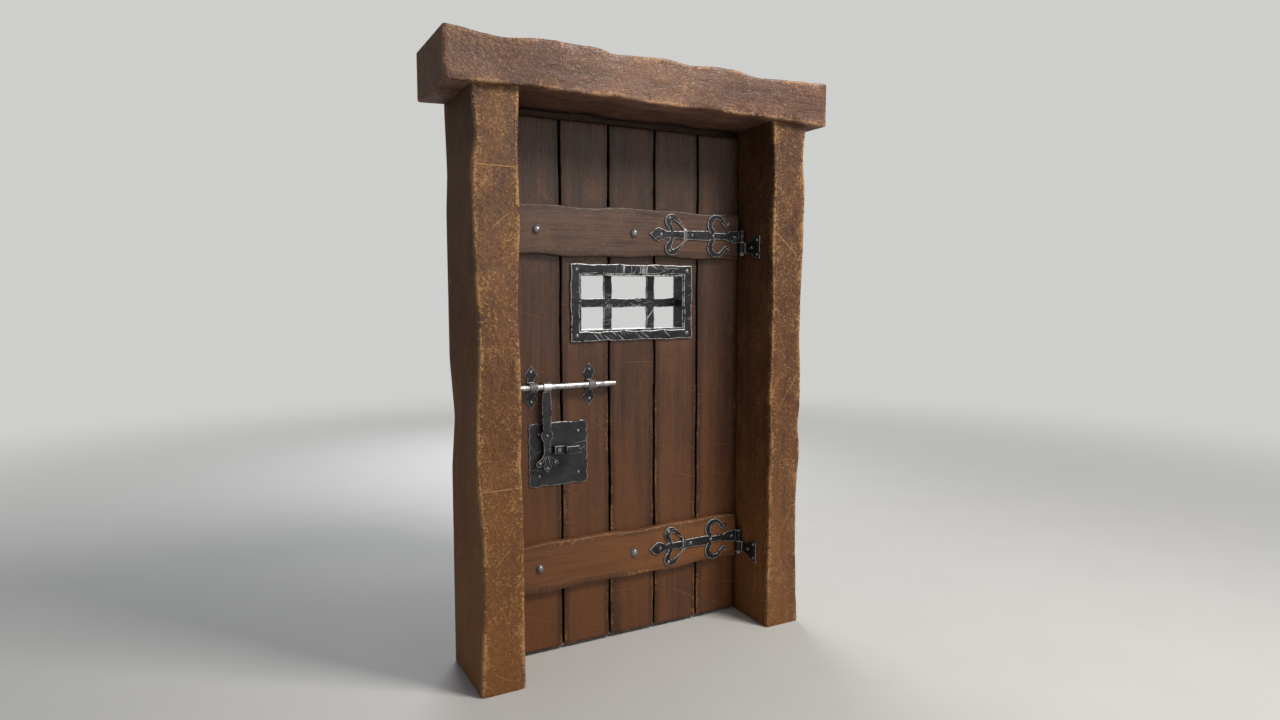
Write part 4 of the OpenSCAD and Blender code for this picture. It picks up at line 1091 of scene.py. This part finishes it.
    def build(self) -> None:
        """Makes, dresses and places the three timbers."""
        dents = (self.left_outer, self.left_inner, self.left_rear)
        left = self.post("left_skin", dents, self.left_x, 1.0)
        dents = (self.right_outer, self.right_inner, self.right_rear)
        right = self.post("right_skin", dents, self.right_x, -1.0)
        for tool in (self.keeper_seat(), self.bolt_bore()):
            left = self.shop.cut(left, tool)
        for node, mesh, finish in (("left_post", left, LEFT_POST_WOOD),
                                   ("right_post", right, RIGHT_POST_WOOD),
                                   ("lintel", self.lintel(), LINTEL_WOOD)):
            self.shop.place(node + "_timber", mesh, node, finish.material())


@dataclass
class Leaf:
    """The lapped planks and the two battens of the leaf. Millimetres."""

    shop: Workshop
    left: float = -521.0
    right: float = 539.0
    bottom: float = 12.0
    top: float = 2075.0
    face_y: float = 73.5
    plank_t: float = 64.0
    count: int = 5
    beside_window: tuple[int, int] = (1, 3)
    station: float = 11.0
    least_stations: int = 40
    plank_round: float = 6.0
    plank_chip: float = 3.0
    lap_y: float = 30.0
    lap: float = 12.0
    lap_gap: float = 0.2
    joint: float = 4.0
    wave: float = 3.4
    share: float = 0.1953
    sleeve_gap: float = 0.3
    back_round: float = 4.0
    batten_h: float = 202.0
    batten_t: float = 25.0
    batten_inset: float = 14.0
    batten_wave: float = 6.0
    batten_round: float = 7.0
    batten_chip: float = 2.6
    batten_stations: int = 130
    wear_deep: float = 12.0
    hollow_deep: float = 6.0
    joint_shade_from: float = 2.5
    joint_shade_over: float = 5.0
    upper_z: float = 1654.8
    lower_z: float = 352.8
    relief: Relief = field(default_factory=lambda: Relief(23))

    def edge(self, z: np.ndarray, k: int) -> np.ndarray:
        """Wave of a plank's edge along its height, another for each k."""
        long, short = (np.sin(np.radians(step * z + turn * k)) for step, turn in ((0.42, 97), (1.13, 211)))
        return self.wave * (0.5 + 0.3 * long + 0.2 * short)

    def ledge(self, x: np.ndarray, k: int) -> np.ndarray:
        """Wave of a batten's long edge, another for each k."""
        long, short = (np.sin(np.radians(step * x + turn * k)) for step, turn in ((0.62, 60), (1.31, 145)))
        return self.batten_wave * (0.55 * long + 0.45 * short - 1)

    def board(self, name: str, low: np.ndarray, high: np.ndarray, along: np.ndarray,
              faces: tuple[float, float], run: Run, radius: float, depth: float,
              joints: tuple[bool, bool] = (False, False), far_radius: float = 1.5) -> Mesh:
        """A board with rounded front arrises that chips and hollows break.

        Args:
            name: Name of the mesh.
            low: Lower or left edge at each station.
            high: Upper or right edge at each station.
            along: The stations.
            faces: The faces towards the front and towards the back.
            run: The way that the board runs.
            radius: Radius of the front arrises.
            depth: Deepest chip.
            joints: True if painted shade darkens the side along the lower or left, and the upper or right
                edge.
            far_radius: Radius of the back arrises.

        Returns:
            The mesh.
        """
        near_y, far_y = faces
        outlines = ([[a, near_y], [b, near_y], [b, far_y], [a, far_y]] for a, b in zip(low, high))
        section, near = sections(outlines, (radius, radius, far_radius, far_radius), ARC + 1, INNER + 2)
        place, behind = section[..., 0], section[..., 1] - near_y
        columns = [place, section[..., 1], np.broadcast_to(along[:, None], near.shape)]
        points = np.stack(columns if run is Run.UP else columns[::-1], -1)
        near = near * np.clip(1 - behind / self.wear_deep, 0, 1)
        first, last = (float(joint) for joint in joints)
        # Painted shade on the sides of the joints, deeper the further they run back from the front.
        joint_shade = np.clip((behind - self.joint_shade_from) / self.joint_shade_over, 0, 1)
        joint_shade = joint_shade * np.where(place < (low + high)[:, None] / 2, first, last)
        drawn = np.array([0.03, 0.02, 0.006])
        small = np.clip(self.relief.at(points * np.array([0.05, 0.05, 0.035])) - 0.5, 0, 1) * 2
        fine = np.clip(self.relief.at(points * 0.11 + 3.3) - 0.62, 0, 1) * 2.6
        soft = self.relief.at(points * (drawn if run is Run.UP else drawn[::-1]) + 5.0)
        across = 0 if run is Run.UP else 2
        width = points[..., across]
        middle = (width.min(1, keepdims=True) + width.max(1, keepdims=True)) / 2
        width += np.sign(middle - width) * near * depth * (small + 0.6 * fine)
        front = np.clip(1 - (points[..., 1] - near_y) / self.hollow_deep, 0, 1)
        points[..., 1] += front * (0.9 * soft + near * 0.5 * depth * (small + fine))
        return Skin(name, points * MM, near, joint_shade).mesh()

    def plank(self, node: str, k: int, start: float, end: float, hole: np.ndarray) -> Mesh:
        """One plank's mesh: a front layer, and a rear layer that laps behind the next plank.

        Args:
            node: The node that it stands for.
            k: Its order from the left, from 0.
            start: Its lower end.
            end: Its upper end.
            hole: Left and right, and lower and upper side of the window's hole.

        Returns:
            The mesh.
        """
        pitch = self.share * (self.right - self.left)
        last = self.count - 1
        edges = [self.left, *(self.right - i * pitch for i in range(last, 0, -1)), self.right]
        z = np.linspace(start, end, max(self.least_stations, int((end - start) / self.station)))
        if k in self.beside_window:
            z = np.sort(np.concatenate([z, hole[1] - 0.05, hole[1] + 0.05]))
        inside = (z > hole[1, 0]) & (z < hole[1, 1])
        half = self.joint / 2
        left = np.full(len(z), edges[k]) if k == 0 else edges[k] + half + self.edge(z, k)
        right = np.full(len(z), edges[k + 1]) if k == last else edges[k + 1] - half - self.edge(z, k + 7)
        rear_left = np.full(len(z), edges[k] + (0 if k == 0 else self.lap + self.lap_gap))
        rear_right = np.full(len(z), edges[k + 1] + (0 if k == last else self.lap - self.lap_gap))
        if k == self.beside_window[0]:
            right, rear_right = (np.where(inside, hole[0, 0], side) for side in (right, rear_right))
        if k == self.beside_window[1]:
            left, rear_left = (np.where(inside, hole[0, 1], side) for side in (left, rear_left))
        middle, back = self.face_y + self.lap_y, self.face_y + self.plank_t
        front = self.board(node + "_front", left, right, z, (self.face_y, middle), Run.UP, self.plank_round,
                           self.plank_chip, (k > 0, k < last))
        rear = self.board(node + "_rear", rear_left, rear_right, z, (middle, back), Run.UP, 1.5, 0.0,
                          far_radius=self.back_round)
        work = bmesh.new()
        for layer in (front, rear):
            work.from_mesh(layer)
        return poured(work, node + "_skin")

    def build(self) -> None:
        """Makes, dresses and places the planks, stepped back round the window's sleeve, and the battens."""
        low, high = (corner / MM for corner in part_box("window_sleeve"))
        gap = self.sleeve_gap
        hole = np.array([[low.x - gap, high.x + gap], [low.z - gap, high.z + gap]])
        whole, above, below = (self.bottom, self.top), (hole[1, 1], self.top), (self.bottom, hole[1, 0])
        planks = (("plank_1", 0, whole), ("plank_2", 1, whole), ("plank_3_top", 2, above),
                  ("plank_3_foot", 2, below), ("plank_4", 3, whole), ("plank_5", 4, whole))
        woods = [wood.material() for wood in PLANK_WOODS]
        for order, (node, k, reach) in enumerate(planks):
            mesh = self.plank(node, k, *reach, hole)
            self.shop.place(node + "_board", mesh, node, woods[order % len(woods)])
        wood = BATTEN_WOOD.material()
        ends = (self.left + self.batten_inset, self.right - self.batten_inset)
        x = np.linspace(*ends, self.batten_stations)
        faces = (self.face_y - self.batten_t, self.face_y)
        for node, z, k in (("upper_batten", self.upper_z, 1), ("lower_batten", self.lower_z, 4)):
            low = z - self.batten_h / 2 - self.ledge(x, k + 2)
            high = z + self.batten_h / 2 + self.ledge(x, k)
            mesh = self.board(node + "_skin", low, high, x, faces, Run.LEVEL, self.batten_round,
                              self.batten_chip)
            self.shop.place(node + "_board", mesh, node, wood)


@dataclass
class Stops:
    """The three boards behind the leaf, with broken edges in millimetres."""

    shop: Workshop
    merge: float = 0.15
    widths: Widths = (("left_stop", 2.4), ("right_stop", 2.4), ("head_stop", 0.6))

    def build(self) -> None:
        """Breaks the boards' edges, and dresses them."""
        wood = STOP_WOOD.material()
        for node, width in self.widths:
            self.shop.broken(node, wood, width, "board", self.merge)


@dataclass
class Ironwork:
    """The forged plates, with broken edges in millimetres, and the small pieces that keep their shape."""

    shop: Workshop
    merge: float = 0.15
    hasp_merge: float = 1.0
    hasps: Widths = (("hasp", 1.4),)
    straps: Widths = (("upper_strap", 2.0), ("lower_strap", 2.0), ("upper_pintle", 1.6),
                      ("lower_pintle", 1.6), ("left_staple", 1.2), ("right_staple", 1.2))
    plates: Widths = (("lock_plate", 2.2), ("turn_button", 1.6), ("bolt_keeper", 1.0), ("bolt_roves", 1.0))
    bands: Widths = (("window_frame", 3.2), ("window_grille", 2.2), ("window_sleeve", 1.4),
                     ("window_back", 1.4))
    nails: tuple[str, ...] = (
        "stop_nails", "keeper_nails", "pintle_nails", "hinge_pins", "batten_bolts", "plank_nails",
        "strap_nails", "window_rivets", "staple_nails", "plate_nails", "button_pivot", "hasp_rivets")

    def build(self) -> None:
        """Breaks the plates' edges, and dresses all the ironwork."""
        for finish, widths, merge in (
                (STRAP_IRON, self.straps, self.merge), (PLATE_IRON, self.plates, self.merge),
                (HASP_IRON, self.hasps, self.hasp_merge), (BAND_IRON, self.bands, self.merge)):
            material = finish.material()
            for node, width in widths:
                self.shop.broken(node, material, width, "iron", merge)
        nail = NAIL_IRON.material()
        for node in self.nails:
            self.shop.dress(node, nail)
        self.shop.dress("bolt_rod", ROD_STEEL.material())


@dataclass(frozen=True)
class Lamp:
    """A soft square lamp. Metres and watts."""

    name: str
    place: Colour
    aim: Colour
    size: float
    power: float
    colour: Colour

    def hang(self) -> None:
        """Sets the lamp in the scene, turned to its aim."""
        data = bpy.data.lights.new(self.name, "AREA")
        data.size, data.energy, data.color = self.size, self.power, self.colour
        lamp = bpy.data.objects.new(self.name, data)
        lamp.location = self.place
        lamp.rotation_euler = (Vector(self.aim) - Vector(self.place)).to_track_quat("-Z", "Y").to_euler()
        bpy.context.scene.collection.objects.link(lamp)


@dataclass
class Studio:
    """The floor, the light and the camera at the photograph's place. Metres, degrees."""

    floor_half: float = 40.0
    floor_tones: tuple[Colour, Colour] = ((0.56, 0.555, 0.545), (0.6, 0.595, 0.585))
    haze_from: float = 1.6
    haze_to: float = 8.5
    lamps: tuple[Lamp, ...] = (
        Lamp("key", (2.3, -3.0, 4.9), (0.0, 0.0, 1.0), 1.4, 275.0, (1.0, 0.96, 0.9)),
        Lamp("front", (1.2, -5.4, 2.0), (0.0, 0.0, 0.9), 2.2, 46.0, (1.0, 0.98, 0.96)),
        Lamp("back", (1.3, 4.6, 3.0), (0.0, 0.0, 1.1), 3.0, 170.0, (0.96, 0.98, 1.0)))
    sky: Colour = (0.9, 0.95, 1.0)
    sky_level: float = 0.15
    lens_mm: float = 22.16
    sensor_mm: float = 36.0
    eye: Colour = (-1.4666, -2.7465, 1.4257)
    tilt: float = 84.992
    turn: float = -28.394

    def floor(self) -> None:
        """Lays a plain pale floor that fades into the background."""
        half = self.floor_half
        corners = [(-half, -half, 0), (half, -half, 0), (half, half, 0), (-half, half, 0)]
        mesh = bpy.data.meshes.new("floor")
        mesh.from_pydata(corners, [], [(0, 1, 2, 3)])
        floor = bpy.data.objects.new("floor", mesh)
        bpy.context.scene.collection.objects.link(floor)
        graph = Surface("floor_pale")
        cloud = graph.noise(3, 3)
        tone = graph.blend(cloud, *self.floor_tones)
        mesh.materials.append(graph.finish(tone, 0.75, 0.0, cloud, 0.0005, 0.1))
        away = ((graph.x * graph.x + graph.y * graph.y) ** 0.5).rise(self.haze_from, self.haze_to)
        haze = graph.add("ShaderNodeEmission", None, {"Color": BACKDROP})
        graph.end(graph.seeing() * away, graph.shader.outputs[0], haze.outputs[0], "Material Output")

    def light(self) -> None:
        """Hangs a key at the upper right, a weak front lamp and a back lamp under an even sky."""
        for lamp in self.lamps:
            lamp.hang()
        world = bpy.data.worlds.new("sky")
        bpy.context.scene.world = world
        graph = Graph(world)
        sky = graph.add("ShaderNodeBackground", None, {"Color": self.sky, "Strength": self.sky_level})
        shown = graph.add("ShaderNodeBackground", None, {"Color": BACKDROP})
        graph.end(graph.seeing(), sky.outputs[0], shown.outputs[0], "World Output")

    def camera(self) -> None:
        """Sets the camera at the photograph's place."""
        data = bpy.data.cameras.new("camera")
        data.lens, data.sensor_width = self.lens_mm, self.sensor_mm
        camera = bpy.data.objects.new("camera", data)
        camera.location = self.eye
        camera.rotation_euler = (math.radians(self.tilt), 0.0, math.radians(self.turn))
        bpy.context.scene.collection.objects.link(camera)
        bpy.context.scene.camera = camera

    def build(self) -> None:
        """Sets the whole studio."""
        self.floor()
        self.light()
        self.camera()
        bpy.context.scene.view_settings.view_transform = "Standard"


def main() -> None:
    """Builds the door and the studio."""
    logging.basicConfig(level=logging.INFO, format="%(name)s: %(message)s")
    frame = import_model()
    shop = Workshop(frame)
    for assembly in (HewnFrame(shop), Leaf(shop), Stops(shop), Ironwork(shop), Studio()):
        assembly.build()
    bpy.context.view_layer.update()


if __name__ == "__main__":
    main()
